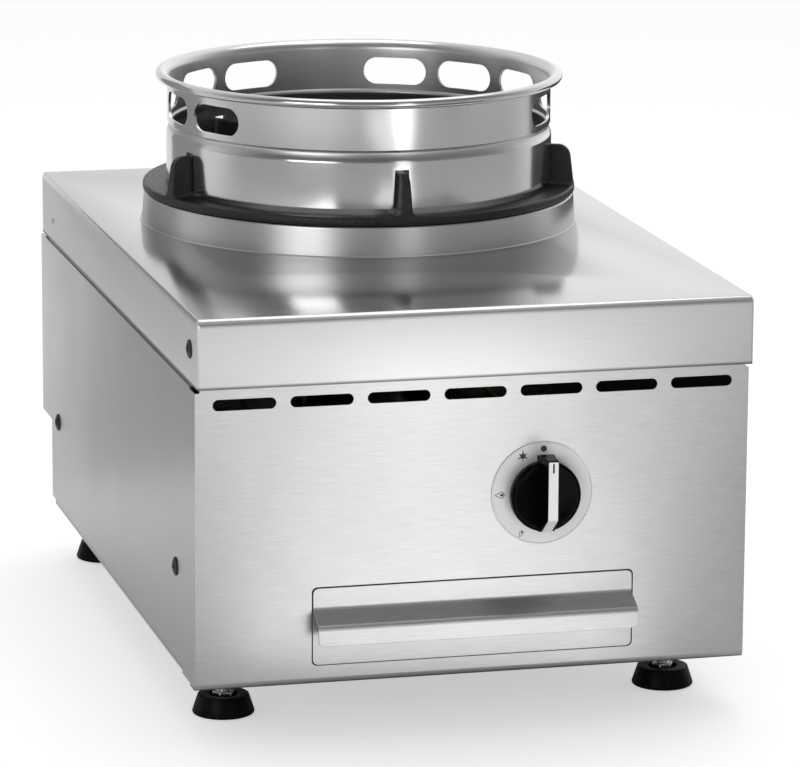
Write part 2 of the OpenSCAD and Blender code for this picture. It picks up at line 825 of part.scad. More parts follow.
module gas_valve() color(brass) difference() {
    translate([knob_x, valve_y, knob_z]) {
        along_y() cylinder(h = valve_body_l, r = valve_body_r);
        translate([0, -valve_nose_l, 0]) along_y() cylinder(h = valve_nose_l, r = valve_nose_r);
        translate([0, valve_body_l, 0]) along_y() cylinder(h = magnet_l, r = magnet_r);
        translate([-boss_reach, valve_body_l/2, 0]) rotate([0, 90, 0]) cylinder(h = 2*boss_reach, r = boss_r);
        translate([pilot_dx, valve_body_l/2, 0]) cylinder(h = valve_body_r + pilot_boss_h, r = pilot_boss_r);
    }
    translate([knob_x, valve_y - valve_nose_l - over, knob_z]) along_y() {
        cylinder(h = valve_nose_l + over + spindle_depth + push_travel + over, r = spindle_r + run_gap);
        cylinder(h = valve_nose_l + over + spindle_depth + pin_l + push_travel + over, r = pin_r + run_gap);
    }
}

// Angle that stands on the front crossbar and holds the valve and the igniter
module valve_bracket() color(zinc) difference() {
    translate([knob_x - bracket_w/2, bracket_y, bar_top]) {
        cube([bracket_w, bracket_t, bracket_top - bar_top]);
        difference() {
            cube([bracket_w, bar_y + bar_w/2 - bracket_y, bracket_t]);
            translate([rail_x - rail_w/2 - knob_x + bracket_w/2 - fit_gap, bracket_t, -over])
                cube([rail_w + 2*fit_gap, bar_y + bar_w/2 - bracket_y, bracket_t + 2*over]);
        }
    }
    translate([knob_x, bracket_y - over, knob_z]) along_y()
        cylinder(h = bracket_t + 2*over, r = valve_nose_r + hole_gap);
}

module valve_nut() color(zinc) translate([knob_x, bracket_y - valve_nut_t, knob_z]) along_y() difference() {
    cylinder(h = valve_nut_t, r = valve_nut_r, $fn = 6);
    translate([0, 0, -over]) cylinder(h = valve_nut_t + 2*over, r = valve_nose_r + hole_gap);
}

module push_pin() color(zinc) translate([knob_x, spindle_rear, knob_z]) along_y()
    cylinder(h = pin_l, r = pin_r);

// Pipe from the gas inlet along the right side to the valve's right boss
module inlet_pipe() color(zinc) translate([inlet_x, recess_y - sheet - inlet_inside, inlet_z])
    rotate([90, 0, 0]) bent_pipe([recess_y - sheet - inlet_inside - boss_y - pipe_bend,
        knob_z - inlet_z - 2*pipe_bend, inlet_x - knob_x - boss_reach - pipe_bend], [90, 90], pipe_r,
        pipe_bend);

module inlet_fitting() color(brass) translate([inlet_x, recess_y, inlet_z]) along_y() {
    translate([0, 0, -sheet - inlet_inside]) cylinder(h = inlet_inside, r = inlet_hex_r, $fn = 6);
    translate([0, 0, -sheet]) cylinder(h = sheet + inlet_nut_t, r = clamp_r);
    translate([0, 0, inlet_nut_t]) cylinder(h = inlet_l, r = inlet_r);
}

module inlet_nut() color(brass) translate([inlet_x, recess_y, inlet_z]) along_y() difference() {
    cylinder(h = inlet_nut_t, r = inlet_hex_r, $fn = 6);
    translate([0, 0, -over]) cylinder(h = inlet_nut_t + 2*over, r = clamp_r + hole_gap);
}

// Pipe from the valve's upper boss to the pilot burner
module pilot_pipe() color(brass) translate([pilot_x, boss_y, knob_z + valve_body_r + pilot_boss_h])
    bent_pipe([pilot_pipe_r, pilot_y - boss_y - 2*pilot_bend, plate_z - pilot_run_z - pilot_bend], [90, 180],
        pilot_pipe_r, pilot_bend);

module pilot_burner() color(brass) translate([pilot_x, pilot_y, plate_z + plate_t]) {
    cylinder(h = pilot_h*2/3, r = pilot_r);
    translate([0, 0, pilot_h*2/3]) cylinder(h = pilot_h/3, r1 = pilot_r, r2 = pilot_r/2);
}

// Plate on the burner's lug that holds the pilot burner, the probe and the electrode
module pilot_bracket() color(zinc) difference() {
    translate([lug_x, probe_y - pilot_r, plate_z]) cube([lug_w, lug_y + lug_h - probe_y + pilot_r, plate_t]);
    for (p = [[pilot_x, pilot_y, pilot_pipe_r], [knob_x, probe_y, probe_r],
        [electrode_x, probe_y, electrode_r]])
        translate([p[0], p[1], plate_z - over]) cylinder(h = plate_t + 2*over, r = p[2] + hole_gap);
}

module thermocouple() color(bright_steel) translate([knob_x, probe_y, plate_z + plate_t]) {
    translate([0, 0, -plate_t - lug_h]) cylinder(h = probe_h, r = probe_r);
    cylinder(h = probe_collar_h, r = probe_collar_r);
}

module thermocouple_lead() color(brass) translate([knob_x, valve_y + valve_body_l + magnet_l, knob_z])
    rotate([-90, 0, 0]) bent_pipe([probe_y - valve_y - valve_body_l - magnet_l - pilot_bend,
        plate_z - lug_h - knob_z - pilot_bend], [-90], pilot_pipe_r, pilot_bend);

module spark_electrode() color("white") translate([electrode_x, probe_y, plate_z + plate_t]) {
    translate([0, 0, -plate_t - lug_h]) cylinder(h = electrode_h, r = electrode_r);
    cylinder(h = probe_collar_h, r = probe_collar_r);
    translate([0, 0, electrode_h - plate_t - lug_h]) cylinder(h = electrode_tip_h, r = electrode_tip_r);
}

module ignition_lead() color(black) translate([electrode_x, valve_y + piezo_l, piezo_z])
    rotate([-90, 0, 0]) bent_pipe([probe_y - valve_y - piezo_l - pilot_bend,
        plate_z - lug_h - piezo_z - pilot_bend], [-90], lead_r, pilot_bend);

module piezo_igniter() color(black) translate([electrode_x, valve_y, piezo_z]) along_y() {
    cylinder(h = piezo_l*2/3, r = piezo_r);
    translate([0, 0, piezo_l*2/3]) cylinder(h = piezo_l/3, r1 = piezo_r, r2 = lead_r);
}

// Round plate behind the knob, with a fine raised rim
module dial_plate() color(bright_steel) translate([knob_x, front_y, knob_z]) rotate([90, 0, 0])
    rotate_extrude() polygon([[panel_hole_r, 0], [dial_r, 0], [dial_r, dial_t], [dial_r - dial_rim, dial_t],
        [dial_r - dial_rim - dial_dish, dial_t - dial_dish], [panel_hole_r, dial_t - dial_dish]]);

// Spindle from the valve to the knob, flattened where the knob holds it
module valve_spindle() color(zinc) translate([knob_x, knob_back, knob_z]) along_y() {
    cylinder(h = spindle_rear - knob_back, r = spindle_r);
    translate([0, 0, -knob_base_h/2]) intersection() {
        cylinder(h = knob_base_h/2, r = spindle_r);
        translate([-spindle_r, -spindle_r, 0]) cube([2*spindle_r, spindle_r + spindle_flat, knob_base_h]);
    }
}

// Side outline of the grip: square at its upper end, cut back at its lower end
module grip_outline(inset) {
    polygon([[0, grip_top - inset], [0, -knob_r + inset], [-knob_base_h, -knob_r + inset],
        [-knob_h + inset, -knob_r + grip_cut + inset], [-knob_h + inset, grip_top - inset]]);
}

// Half section of the knob's round base, with a round edge and a scooped face
module knob_section() {
    difference() {
        union() {
            square([knob_r, knob_base_h - knob_edge]);
            square([scoop_span, knob_base_h]);
            translate([scoop_span, knob_base_h - knob_edge]) circle(knob_edge);
        }
        translate([0, knob_base_h - scoop_d + scoop_r]) circle(scoop_r);
    }
}

// Section of the grip, narrower towards its front
module grip_section() {
    polygon([[-grip_root_w/2, 0], [-grip_front_w/2, -knob_h], [grip_front_w/2, -knob_h], [grip_root_w/2, 0]]);
}

// Round base with a tall straight grip across it
module control_knob() color(black) translate([knob_x, knob_back, knob_z]) difference() {
    union() {
        rotate([90, 0, 0]) rotate_extrude() knob_section();
        intersection() {
            across(grip_root_w) grip_outline(0);
            translate([0, 0, -2*knob_r]) linear_extrude(4*knob_r) grip_section();
        }
    }
    translate([0, -knob_base_h/2, 0]) along_y() intersection() {
        cylinder(h = knob_base_h/2 + over, r = spindle_r + run_gap);
        translate([-2*spindle_r, -2*spindle_r, 0])
            cube([4*spindle_r, 2*spindle_r + spindle_flat + run_gap, knob_base_h]);
    }
    insert_solid();
}

// Silver strip let into the grip's front edge and its cut end
module insert_solid() {
    intersection() {
        across(insert_w) difference() {
            translate([-over, 0]) grip_outline(0);
            grip_outline(insert_t);
        }
        translate([-knob_r, -knob_h - over, -2*knob_r])
            cube([2*knob_r, knob_h - knob_base_h, 2*knob_r + grip_top - insert_t]);
    }
}

module knob_insert() color(bright_steel) translate([knob_x, knob_back, knob_z]) intersection() {
    insert_solid();
    across(insert_w) grip_outline(0);
}

module drip_tray() color(steel) translate([-tray_w/2, tray_y, tray_z]) difference() {
    linear_extrude(tray_h) round_rect(tray_w, tray_d, tray_corner_r);
    translate([tray_sheet, tray_sheet, tray_sheet]) linear_extrude(tray_h)
        round_rect(tray_w - 2*tray_sheet, tray_d - 2*tray_sheet, tray_corner_r - tray_sheet);
}

module tray_front() color(steel) translate([-tray_front_w/2, front_y + tray_sheet, tray_front_z])
    deep(tray_sheet) round_rect(tray_front_w, tray_front_h, opening_r);

// Section of the handle: strip on the plate, sloping part and hanging lip
module handle_section() {
    t = tray_sheet;
    slope = atan(handle_fall/(handle_reach - handle_fold_r));
    slope_z = handle_top - handle_strip;
    lip_foot = slope_z - handle_fall - handle_lip;
    fold_y = handle_fold_r - handle_reach;
    fold_z = slope_z - handle_fold_r/cos(slope) + fold_y*tan(slope);
    polygon(concat(
        [[0, handle_top], [0, slope_z]],
        arc_points([fold_y, fold_z], handle_fold_r, 90 + slope, 180, 6),
        [[-handle_reach, lip_foot], [t - handle_reach, lip_foot]],
        arc_points([fold_y, fold_z], handle_fold_r - t, 180, 90 + slope, 6),
        [[t, slope_z - t/cos(slope) + t*tan(slope)], [t, handle_top]]));
}

// Front outline of the handle, with round corners
module handle_outline() {
    translate([-tray_front_w/2, handle_top - handle_strip - handle_fall - handle_lip])
        round_rect(tray_front_w, handle_strip + handle_fall + handle_lip, opening_r);
}

module tray_handle() color(steel) intersection() {
    translate([0, front_y, 0]) across(tray_front_w) handle_section();
    translate([0, front_y - handle_reach - over, 0]) deep(handle_reach + sheet + 2*over) handle_outline();
}

// Right half of a fin's cross-section, from its foot to its top
module fin_half() {
    h = fin_top - support_z;
    polygon([[0, 0], [fin_base_w/2, 0], [fin_base_w/2 + fin_fillet, support_t/2],
        [fin_base_w/2 + fin_fillet, support_t], [fin_base_w/2, support_t + fin_fillet],
        [fin_top_w/2, h - fin_edge], [fin_top_w/2 - fin_edge, h], [0, h]]);
}

// Cross-section of a fin, wider at its foot
module fin_section() {
    fin_half();
    mirror([1, 0]) fin_half();
}

// Side outline of a fin from its inner end to its rounded outer end
module fin_outline() {
    h = fin_top - support_z;
    polygon(concat(
        [[fin_inner_r, 0], [fin_inner_r, fin_inner_h], [fin_inner_r + fin_inner_run, h]],
        arc_points([support_r - fin_slope - fin_round, h - fin_round], fin_round, 90, 10, 8),
        [[support_r - fin_end, support_t], [support_r - fin_end, 0]]));
}

module pan_support() color(iron) translate([0, ring_y, support_z]) rotate([0, 0, support_turn]) {
    rotate_extrude() translate([support_bore_r, 0])
        round_rect(support_r - support_bore_r, support_t, support_t/4);
    for (i = [0:fin_count - 1])
        rotate([0, 0, i*360/fin_count]) intersection() {
            translate([0, -support_r - over, 0]) deep(support_r) fin_section();
            mirror([0, 1, 0]) across(2*fin_base_w) fin_outline();
        }
}

// Section of the ring: wall with an inward groove, flared top and an outward rolled rim
module ring_section() {
    groove_r = (groove_h*groove_h/4 + groove_d*groove_d)/(2*groove_d);
    groove_c = [ring_r + groove_r - groove_d, groove_z - ring_z];
    rim_x = ring_r - ring_wall + flare_r;
    difference() {
        union() {
            translate([ring_r - ring_wall, 0]) square([ring_wall, ring_h - flare_r]);
            intersection() {
                translate(groove_c) circle(groove_r + ring_wall);
                translate([ring_r - 2*ring_wall - groove_d, 0]) square([2*ring_wall, ring_h]);
            }
        }
        translate(groove_c) circle(groove_r);
    }
    intersection() {
        translate([rim_x, ring_h - flare_r]) difference() {
            circle(flare_r);
            circle(flare_r - ring_wall);
        }
        translate([rim_x - flare_r, ring_h - flare_r]) square(flare_r);
    }
    difference() {
        translate([rim_x, ring_h - rim_r]) difference() {
            circle(rim_r);
            circle(rim_r - ring_wall);
        }
        translate([rim_x - 2*rim_r, ring_h - rim_r*rim_open_share]) square([2*rim_r, 2*rim_r]);
    }
}

module wok_ring() color(bright_steel)
    translate([0, ring_y, ring_z]) rotate([0, 0, support_turn]) difference() {
    rotate_extrude() ring_section();
    for (side = [-1, 1], i = [0:slot_count - 1])
        rotate([0, 0, side*slot_pitch*(i + 1)]) translate([0, ring_r + ring_wall - slot_cut, slot_z - ring_z])
            long_hole(slot_l, slot_h, slot_cut);
    for (i = [0:fin_count - 1])
        rotate([0, 0, i*360/fin_count]) translate([0, -ring_r - ring_wall, 0]) deep(slot_cut)
            polygon([[-notch_foot_w/2, -over], [-notch_top_w/2, notch_h], [notch_top_w/2, notch_h],
                [notch_foot_w/2, -over]]);
}

module foot_bushes() color(zinc)
    for (p = foot_places)
        translate([p[0], p[1], pan_top]) difference() {
            cylinder(h = bush_h, r = bush_r);
            translate([0, 0, -over]) cylinder(h = bush_h + 2*over, r = stud_r + run_gap);
        }

// Conical pad with a hollow top round the stud
module foot_pad(p) color(black) translate([p[0], p[1], 0]) difference() {
    cylinder(h = foot_h, r1 = foot_r, r2 = foot_top_r);
    translate([0, 0, foot_h - pad_recess_d]) cylinder(h = pad_recess_d + over, r = pad_recess_r);
}

// Threaded stud with a hexagon for the spanner
module foot_stud(p) color(zinc) translate([p[0], p[1], foot_h - pad_recess_d]) {
    cylinder(h = stud_top - foot_h + pad_recess_d, r = stud_r);
    cylinder(h = stud_hex_h, r = stud_hex_r, $fn = 6);
}

base_pan();
front_panel();
left_side_panel();
right_side_panel();
rear_panel();
top_cover();
cover_screws();
cover_pins();
side_screws();
front_crossbar();
rear_crossbar();
left_tray_runner();
right_tray_runner();
drip_collar();
spill_funnel();
burner_rails();
burner_body();
burner_head();
burner_cap();
mixing_tube();
air_shutter();
injector();
injector_holder();
supply_pipe();
gas_valve();
valve_bracket();
valve_nut();
push_pin();
inlet_pipe();
inlet_fitting();
inlet_nut();
pilot_pipe();
pilot_burner();
pilot_bracket();
thermocouple();
thermocouple_lead();
spark_electrode();
ignition_lead();
piezo_igniter();
dial_plate();
valve_spindle();
control_knob();
knob_insert();
drip_tray();
tray_front();
tray_handle();
pan_support();
wok_ring();
foot_bushes();
foot_pad(foot_places[0]);  // front_left_pad
foot_stud(foot_places[0]);  // front_left_stud
foot_pad(foot_places[1]);  // rear_left_pad
foot_stud(foot_places[1]);  // rear_left_stud
foot_pad(foot_places[2]);  // front_right_pad
foot_stud(foot_places[2]);  // front_right_stud
foot_pad(foot_places[3]);  // rear_right_pad
foot_stud(foot_places[3]);  // rear_right_stud
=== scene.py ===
import json
import math

import bmesh
import bpy
from mathutils import Matrix, Vector


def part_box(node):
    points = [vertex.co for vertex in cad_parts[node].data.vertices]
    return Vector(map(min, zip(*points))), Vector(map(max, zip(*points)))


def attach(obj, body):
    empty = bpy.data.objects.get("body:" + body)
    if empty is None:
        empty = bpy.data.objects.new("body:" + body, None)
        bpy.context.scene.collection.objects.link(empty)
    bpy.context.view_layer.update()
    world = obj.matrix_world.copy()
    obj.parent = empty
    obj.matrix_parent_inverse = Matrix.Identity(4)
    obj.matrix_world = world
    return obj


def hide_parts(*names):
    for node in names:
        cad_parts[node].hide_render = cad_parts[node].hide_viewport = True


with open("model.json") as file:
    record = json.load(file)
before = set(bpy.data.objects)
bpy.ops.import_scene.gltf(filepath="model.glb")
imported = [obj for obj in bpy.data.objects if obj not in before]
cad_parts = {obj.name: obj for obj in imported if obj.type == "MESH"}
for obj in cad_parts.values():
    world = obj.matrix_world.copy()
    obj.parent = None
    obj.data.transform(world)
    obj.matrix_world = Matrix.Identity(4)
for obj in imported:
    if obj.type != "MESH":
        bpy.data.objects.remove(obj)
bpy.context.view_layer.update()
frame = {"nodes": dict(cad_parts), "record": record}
nodes = frame["nodes"]

MM = 0.001
SHARP = 35.0  # degrees; an edge that turns more than this stays sharp
NEAR = 0.1*MM  # reach of a test for points on an edge


# Finishes

EVEN = (1.0, 1.0, 1.0)
LEVEL_GRAIN = (0.035, 0.035, 1.0)
LID_GRAIN = (0.02, 1.0, 1.0)
TURNED_GRAIN = (0.02, 0.02, 1.0)
SHEET_LINES = 1500.0
TURNED_LINES = 1800.0
LINE_DEPTH = 0.02*MM
SAND_DEPTH = 0.6*MM

CASE_SHADE = 0.56
CASE_ROUGHNESS = 0.3
CASE_STREAK = 0.08
# Painted shade: the case sheet's colour darkens to this share over this span above a panel's foot, along its
# lower bend
FOOT_BEND = (0.4*MM, 2.6*MM)
FOOT_PAINTED_SHADE = 0.16
# Painted light: the cover's colour is lifted above the case's so that the flanges read lighter
LID_PAINTED_LIT_COLOUR = (0.8, 0.8, 0.794)
# Painted shade: the cover's colour darkens to this share over this span above its lower edge
LID_EDGE = (0.6*MM, 2.8*MM)
LID_EDGE_PAINTED_SHADE = 0.3
# Painted shade: the top's colour is scaled down to this share over this span below it, so top and flanges are
# lit and shaded copies of one sheet
LID_TOP = (3*MM, 0.4*MM)
LID_TOP_PAINTED_SHADE = 0.7
LID_BEND = (7*MM, 0.4*MM)
LID_FLANGE_ROUGHNESS = 0.48
LID_TOP_ROUGHNESS = 0.18

RING_BRUSHED_R = 144.4*MM
RING_BRUSHED_FADE = 0.8*MM
RING_BRUSHED_MORE = 0.18
ring_axis_y = sum(c[1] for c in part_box("wok_ring"))/2


def new_finish(name, colour, roughness, metallic=0.0):
    """A material with its plain values on the shader's own sockets."""
    finish = bpy.data.materials.new(name)
    finish.use_nodes = True
    shader = finish.node_tree.nodes["Principled BSDF"]
    shader.inputs["Base Color"].default_value = (*colour, 1.0)
    shader.inputs["Roughness"].default_value = roughness
    shader.inputs["Metallic"].default_value = metallic
    return finish, finish.node_tree, shader


def grain(tree, stretch, scale, detail=3.0):
    """Noise on object coordinates, drawn out along an axis by its stretch."""
    place = tree.nodes.new("ShaderNodeTexCoord")
    lay = tree.nodes.new("ShaderNodeMapping")
    lay.inputs["Scale"].default_value = stretch
    noise = tree.nodes.new("ShaderNodeTexNoise")
    noise.inputs["Scale"].default_value = scale
    noise.inputs["Detail"].default_value = detail
    tree.links.new(place.outputs["Object"], lay.inputs["Vector"])
    tree.links.new(lay.outputs["Vector"], noise.inputs["Vector"])
    return noise.outputs["Fac"]


def vary(tree, source, low, high):
    """Spreads a noise between two values."""
    span = tree.nodes.new("ShaderNodeMapRange")
    span.inputs["From Min"].default_value = 0.3
    span.inputs["From Max"].default_value = 0.7
    span.inputs["To Min"].default_value = low
    span.inputs["To Max"].default_value = high
    tree.links.new(source, span.inputs["Value"])
    return span.outputs["Result"]


def tint(tree, source, dark, light):
    """Spreads a noise between two colours."""
    mix = tree.nodes.new("ShaderNodeMix")
    mix.data_type = "RGBA"
    mix.inputs["A"].default_value = (*dark, 1.0)
    mix.inputs["B"].default_value = (*light, 1.0)
    tree.links.new(vary(tree, source, 0.0, 1.0), mix.inputs["Factor"])
    return mix.outputs["Result"]


def around(colour, low, high):
    """A darker and a lighter copy of a colour."""
    return [c*low for c in colour], [min(1.0, c*high) for c in colour]


def relief(tree, source, strength, depth):
    """Turns a noise into a fine relief."""
    bump = tree.nodes.new("ShaderNodeBump")
    bump.inputs["Strength"].default_value = strength
    bump.inputs["Distance"].default_value = depth
    tree.links.new(source, bump.inputs["Height"])
    return bump.outputs["Normal"]


def across(tree, axis, start, end, low, high, kind="Object"):
    """A value that changes along one axis."""
    place = tree.nodes.new("ShaderNodeTexCoord")
    parts = tree.nodes.new("ShaderNodeSeparateXYZ")
    span = tree.nodes.new("ShaderNodeMapRange")
    span.interpolation_type = "SMOOTHSTEP"
    span.inputs["From Min"].default_value = start
    span.inputs["From Max"].default_value = end
    span.inputs["To Min"].default_value = low
    span.inputs["To Max"].default_value = high
    tree.links.new(place.outputs[kind], parts.inputs["Vector"])
    tree.links.new(parts.outputs[axis], span.inputs["Value"])
    return span.outputs["Result"]


def combine(tree, kind, first, second):
    """Adds or multiplies two values, or takes the larger one."""
    both = tree.nodes.new("ShaderNodeMath")
    both.operation = kind
    tree.links.new(first, both.inputs[0])
    tree.links.new(second, both.inputs[1])
    return both.outputs["Value"]


def shaded(tree, colour, share):
    """A colour darkened by a share."""
    scale = tree.nodes.new("ShaderNodeVectorMath")
    scale.operation = "SCALE"
    tree.links.new(colour, scale.inputs["Vector"])
    tree.links.new(share, scale.inputs["Scale"])
    return scale.outputs["Vector"]


def brushed_sheet(name, colour, roughness, streak, foot=None):
    """Stainless sheet with a fine level grain; where it has a foot, painted shade darkens the bend along it.
    """
    shade = (colour, colour, colour*0.992)
    finish, tree, shader = new_finish(name, shade, roughness, 1.0)
    lines = grain(tree, LEVEL_GRAIN, SHEET_LINES, 5.0)
    cloud = grain(tree, EVEN, 9.0, 2.0)
    streaks = tint(tree, lines, *around(shade, 1 - streak, 1 + streak*0.75))
    # Painted shade along the lower bend at the foot
    if foot is not None:
        bend = [foot + rise for rise in FOOT_BEND]
        streaks = shaded(tree, streaks, across(tree, "Z", *bend, FOOT_PAINTED_SHADE, 1.0))
    tree.links.new(streaks, shader.inputs["Base Color"])
    tree.links.new(vary(tree, cloud, roughness - 0.02, roughness + 0.03), shader.inputs["Roughness"])
    tree.links.new(relief(tree, lines, 0.06, LINE_DEPTH), shader.inputs["Normal"])
    return finish


def lid_sheet(low, high):
    """Sheet of the cover: mirrors most on top, softer down the flanges; painted light lifts the flanges'
    colour above the top's, and painted shade darkens their lower edge.
    """
    finish, tree, shader = new_finish("brushed_lid", LID_PAINTED_LIT_COLOUR, LID_TOP_ROUGHNESS, 1.0)
    lines = grain(tree, LID_GRAIN, SHEET_LINES, 5.0)
    cloud = grain(tree, EVEN, 9.0, 2.0)
    streaks = tint(tree, lines, *around(LID_PAINTED_LIT_COLOUR, 0.97, 1.025))
    # Painted shade along the flanges' lower edge
    edge = across(tree, "Z", *[low + rise for rise in LID_EDGE], LID_EDGE_PAINTED_SHADE, 1.0)
    # Painted shade on the top, against the painted light of the flanges' lifted colour
    top = across(tree, "Z", *[high - fall for fall in LID_TOP], 1.0, LID_TOP_PAINTED_SHADE)
    tree.links.new(shaded(tree, streaks, combine(tree, "MULTIPLY", edge, top)), shader.inputs["Base Color"])
    soft = across(tree, "Z", *[high - fall for fall in LID_BEND], LID_FLANGE_ROUGHNESS, LID_TOP_ROUGHNESS)
    tree.links.new(combine(tree, "ADD", soft, vary(tree, cloud, -0.01, 0.02)), shader.inputs["Roughness"])
    tree.links.new(relief(tree, lines, 0.04, LINE_DEPTH), shader.inputs["Normal"])
    return finish


def from_axis(tree, axis_y, start, end, low, high):
    """A value that changes with the distance from the ring's axis."""
    place = tree.nodes.new("ShaderNodeTexCoord")
    flat = tree.nodes.new("ShaderNodeVectorMath")
    flat.operation = "MULTIPLY"
    flat.inputs[1].default_value = (1.0, 1.0, 0.0)
    reach = tree.nodes.new("ShaderNodeVectorMath")
    reach.operation = "DISTANCE"
    reach.inputs[1].default_value = (0.0, axis_y, 0.0)
    span = tree.nodes.new("ShaderNodeMapRange")
    span.inputs["From Min"].default_value = start
    span.inputs["From Max"].default_value = end
    span.inputs["To Min"].default_value = low
    span.inputs["To Max"].default_value = high
    tree.links.new(place.outputs["Object"], flat.inputs[0])
    tree.links.new(flat.outputs["Vector"], reach.inputs[0])
    tree.links.new(reach.outputs["Value"], span.inputs["Value"])
    return span.outputs["Result"]


def polished_steel(name, colour, roughness, brushed_r=None):
    """Spun stainless with a soft polish and faint turning lines, only brushed inside a radius."""
    shade = (colour, colour, colour*0.993)
    finish, tree, shader = new_finish(name, shade, roughness, 1.0)
    lines = grain(tree, TURNED_GRAIN, TURNED_LINES, 3.0)
    cloud = grain(tree, EVEN, 14.0, 2.0)
    tree.links.new(tint(tree, lines, *around(shade, 0.97, 1.03)), shader.inputs["Base Color"])
    polish = vary(tree, cloud, roughness - 0.02, roughness + 0.03)
    if brushed_r is not None:
        faded_r = brushed_r + RING_BRUSHED_FADE
        inside = from_axis(tree, ring_axis_y, brushed_r, faded_r, RING_BRUSHED_MORE, 0.0)
        polish = combine(tree, "ADD", polish, inside)
    tree.links.new(polish, shader.inputs["Roughness"])
    tree.links.new(relief(tree, lines, 0.05, LINE_DEPTH), shader.inputs["Normal"])
    return finish


def dial_metal(name, colour, roughness, metal):
    """Satin silver under lacquer."""
    shade = (colour, colour, colour)
    finish, tree, shader = new_finish(name, shade, roughness, metal)
    speck = grain(tree, EVEN, 2600.0, 2.0)
    tree.links.new(tint(tree, speck, *around(shade, 0.96, 1.03)), shader.inputs["Base Color"])
    tree.links.new(vary(tree, speck, roughness - 0.03, roughness + 0.05), shader.inputs["Roughness"])
    return finish


def cast_iron():
    """Black sand casting with a slight sheen."""
    dark, light = (0.007, 0.007, 0.0075), (0.015, 0.015, 0.0155)
    finish, tree, shader = new_finish("cast_iron", dark, 0.45)
    sand = grain(tree, EVEN, 700.0, 5.0)
    cloud = grain(tree, EVEN, 35.0)
    tree.links.new(tint(tree, cloud, dark, light), shader.inputs["Base Color"])
    tree.links.new(vary(tree, sand, 0.3, 0.5), shader.inputs["Roughness"])
    tree.links.new(relief(tree, sand, 0.7, SAND_DEPTH), shader.inputs["Normal"])
    return finish


def machined(name, colour, roughness):
    """Turned or drawn metal with a faint unevenness."""
    finish, tree, shader = new_finish(name, colour, roughness, 1.0)
    cloud = grain(tree, EVEN, 120.0, 4.0)
    tree.links.new(tint(tree, cloud, *around(colour, 0.86, 1.08)), shader.inputs["Base Color"])
    tree.links.new(vary(tree, cloud, roughness - 0.07, roughness + 0.09), shader.inputs["Roughness"])
    return finish


def moulded(name, colour, roughness, fine=1500.0, gloss=0.5):
    """Moulded plastic with a slight skin."""
    finish, tree, shader = new_finish(name, colour, roughness)
    shader.inputs["Specular IOR Level"].default_value = gloss
    skin = grain(tree, EVEN, fine)
    tree.links.new(tint(tree, skin, *around(colour, 0.85, 1.15)), shader.inputs["Base Color"])
    tree.links.new(vary(tree, skin, roughness - 0.03, roughness + 0.05), shader.inputs["Roughness"])
    tree.links.new(relief(tree, skin, 0.1, LINE_DEPTH), shader.inputs["Normal"])
    return finish


lid_low, lid_high = [c[2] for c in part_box("top_cover")]
front_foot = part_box("front_panel")[0][2]

brushed_front = brushed_sheet("brushed_front", CASE_SHADE, CASE_ROUGHNESS, CASE_STREAK)
brushed_side = brushed_sheet("brushed_side", CASE_SHADE, CASE_ROUGHNESS, streak=0.03)
brushed_panel = brushed_sheet("brushed_panel", CASE_SHADE, CASE_ROUGHNESS, CASE_STREAK, front_foot)
brushed_lid = lid_sheet(lid_low, lid_high)
brushed_inside = brushed_sheet("brushed_inside", colour=0.5, roughness=0.35, streak=0.06)
spun_steel = polished_steel("spun_steel", colour=0.66, roughness=0.14, brushed_r=RING_BRUSHED_R)
pressed_steel = polished_steel("pressed_steel", colour=0.57, roughness=0.3)
dial_silver = dial_metal("dial_silver", colour=0.88, roughness=0.5, metal=0.2)
insert_silver = dial_metal("insert_silver", colour=0.9, roughness=0.45, metal=0.25)
black_iron = cast_iron()
dark_screw = machined("dark_screw", (0.05, 0.05, 0.052), roughness=0.35)
zinc_plate = machined("zinc_plate", (0.52, 0.53, 0.54), roughness=0.36)
bright_zinc = machined("bright_zinc", (0.62, 0.63, 0.64), roughness=0.22)
brass = machined("brass", (0.62, 0.44, 0.2), roughness=0.3)
copper = machined("copper", (0.66, 0.34, 0.2), roughness=0.3)
gloss_black = moulded("gloss_black", (0.002, 0.002, 0.0021), roughness=0.14, fine=700.0, gloss=0.05)
satin_black = moulded("satin_black", (0.003, 0.003, 0.0031), roughness=0.38, gloss=0.09)
glazed_white = moulded("glazed_white", (0.8, 0.79, 0.75), roughness=0.15)
lead_sleeve = moulded("lead_sleeve", (0.02, 0.02, 0.021), roughness=0.5)
dial_ink = moulded("dial_ink", (0.075, 0.075, 0.077), roughness=0.6, gloss=0.2)
pointer_ink = moulded("pointer_ink", (0.006, 0.006, 0.0062), roughness=0.6, gloss=0.1)

finish_of_slot = {
    "brushed_case": brushed_front, "polished_steel": spun_steel, "dial_metal": dial_silver,
    "screw_steel": dark_screw, "zinc_steel": zinc_plate, "cast_iron": black_iron,
    "brass": brass, "copper_pipe": copper, "knob_plastic": gloss_black,
    "foot_plastic": satin_black, "white_ceramic": glazed_white, "lead_sleeve": lead_sleeve,
}
finish_of_node = {
    "front_panel": brushed_panel, "left_side_panel": brushed_side, "right_side_panel": brushed_side,
    "top_cover": brushed_lid, "drip_collar": pressed_steel, "base_pan": brushed_inside,
    "spill_funnel": brushed_inside,
}


def give(piece, finish):
    """Leaves a piece with one finish."""
    piece.data.materials.clear()
    piece.data.materials.append(finish)


for part in frame["record"]["subparts"]:
    give(nodes[part["node"]], finish_of_node.get(part["node"], finish_of_slot[part["material_slot"]]))


# Modelling steps

DRAWN_GAP = 0.01*MM
SEAM_GAP = 0.005*MM


def deselect():
    """Leaves nothing chosen."""
    bpy.ops.object.select_all(action="DESELECT")


def choose(piece):
    """Makes a piece the only chosen one."""
    deselect()
    piece.select_set(True)
    bpy.context.view_layer.objects.active = piece


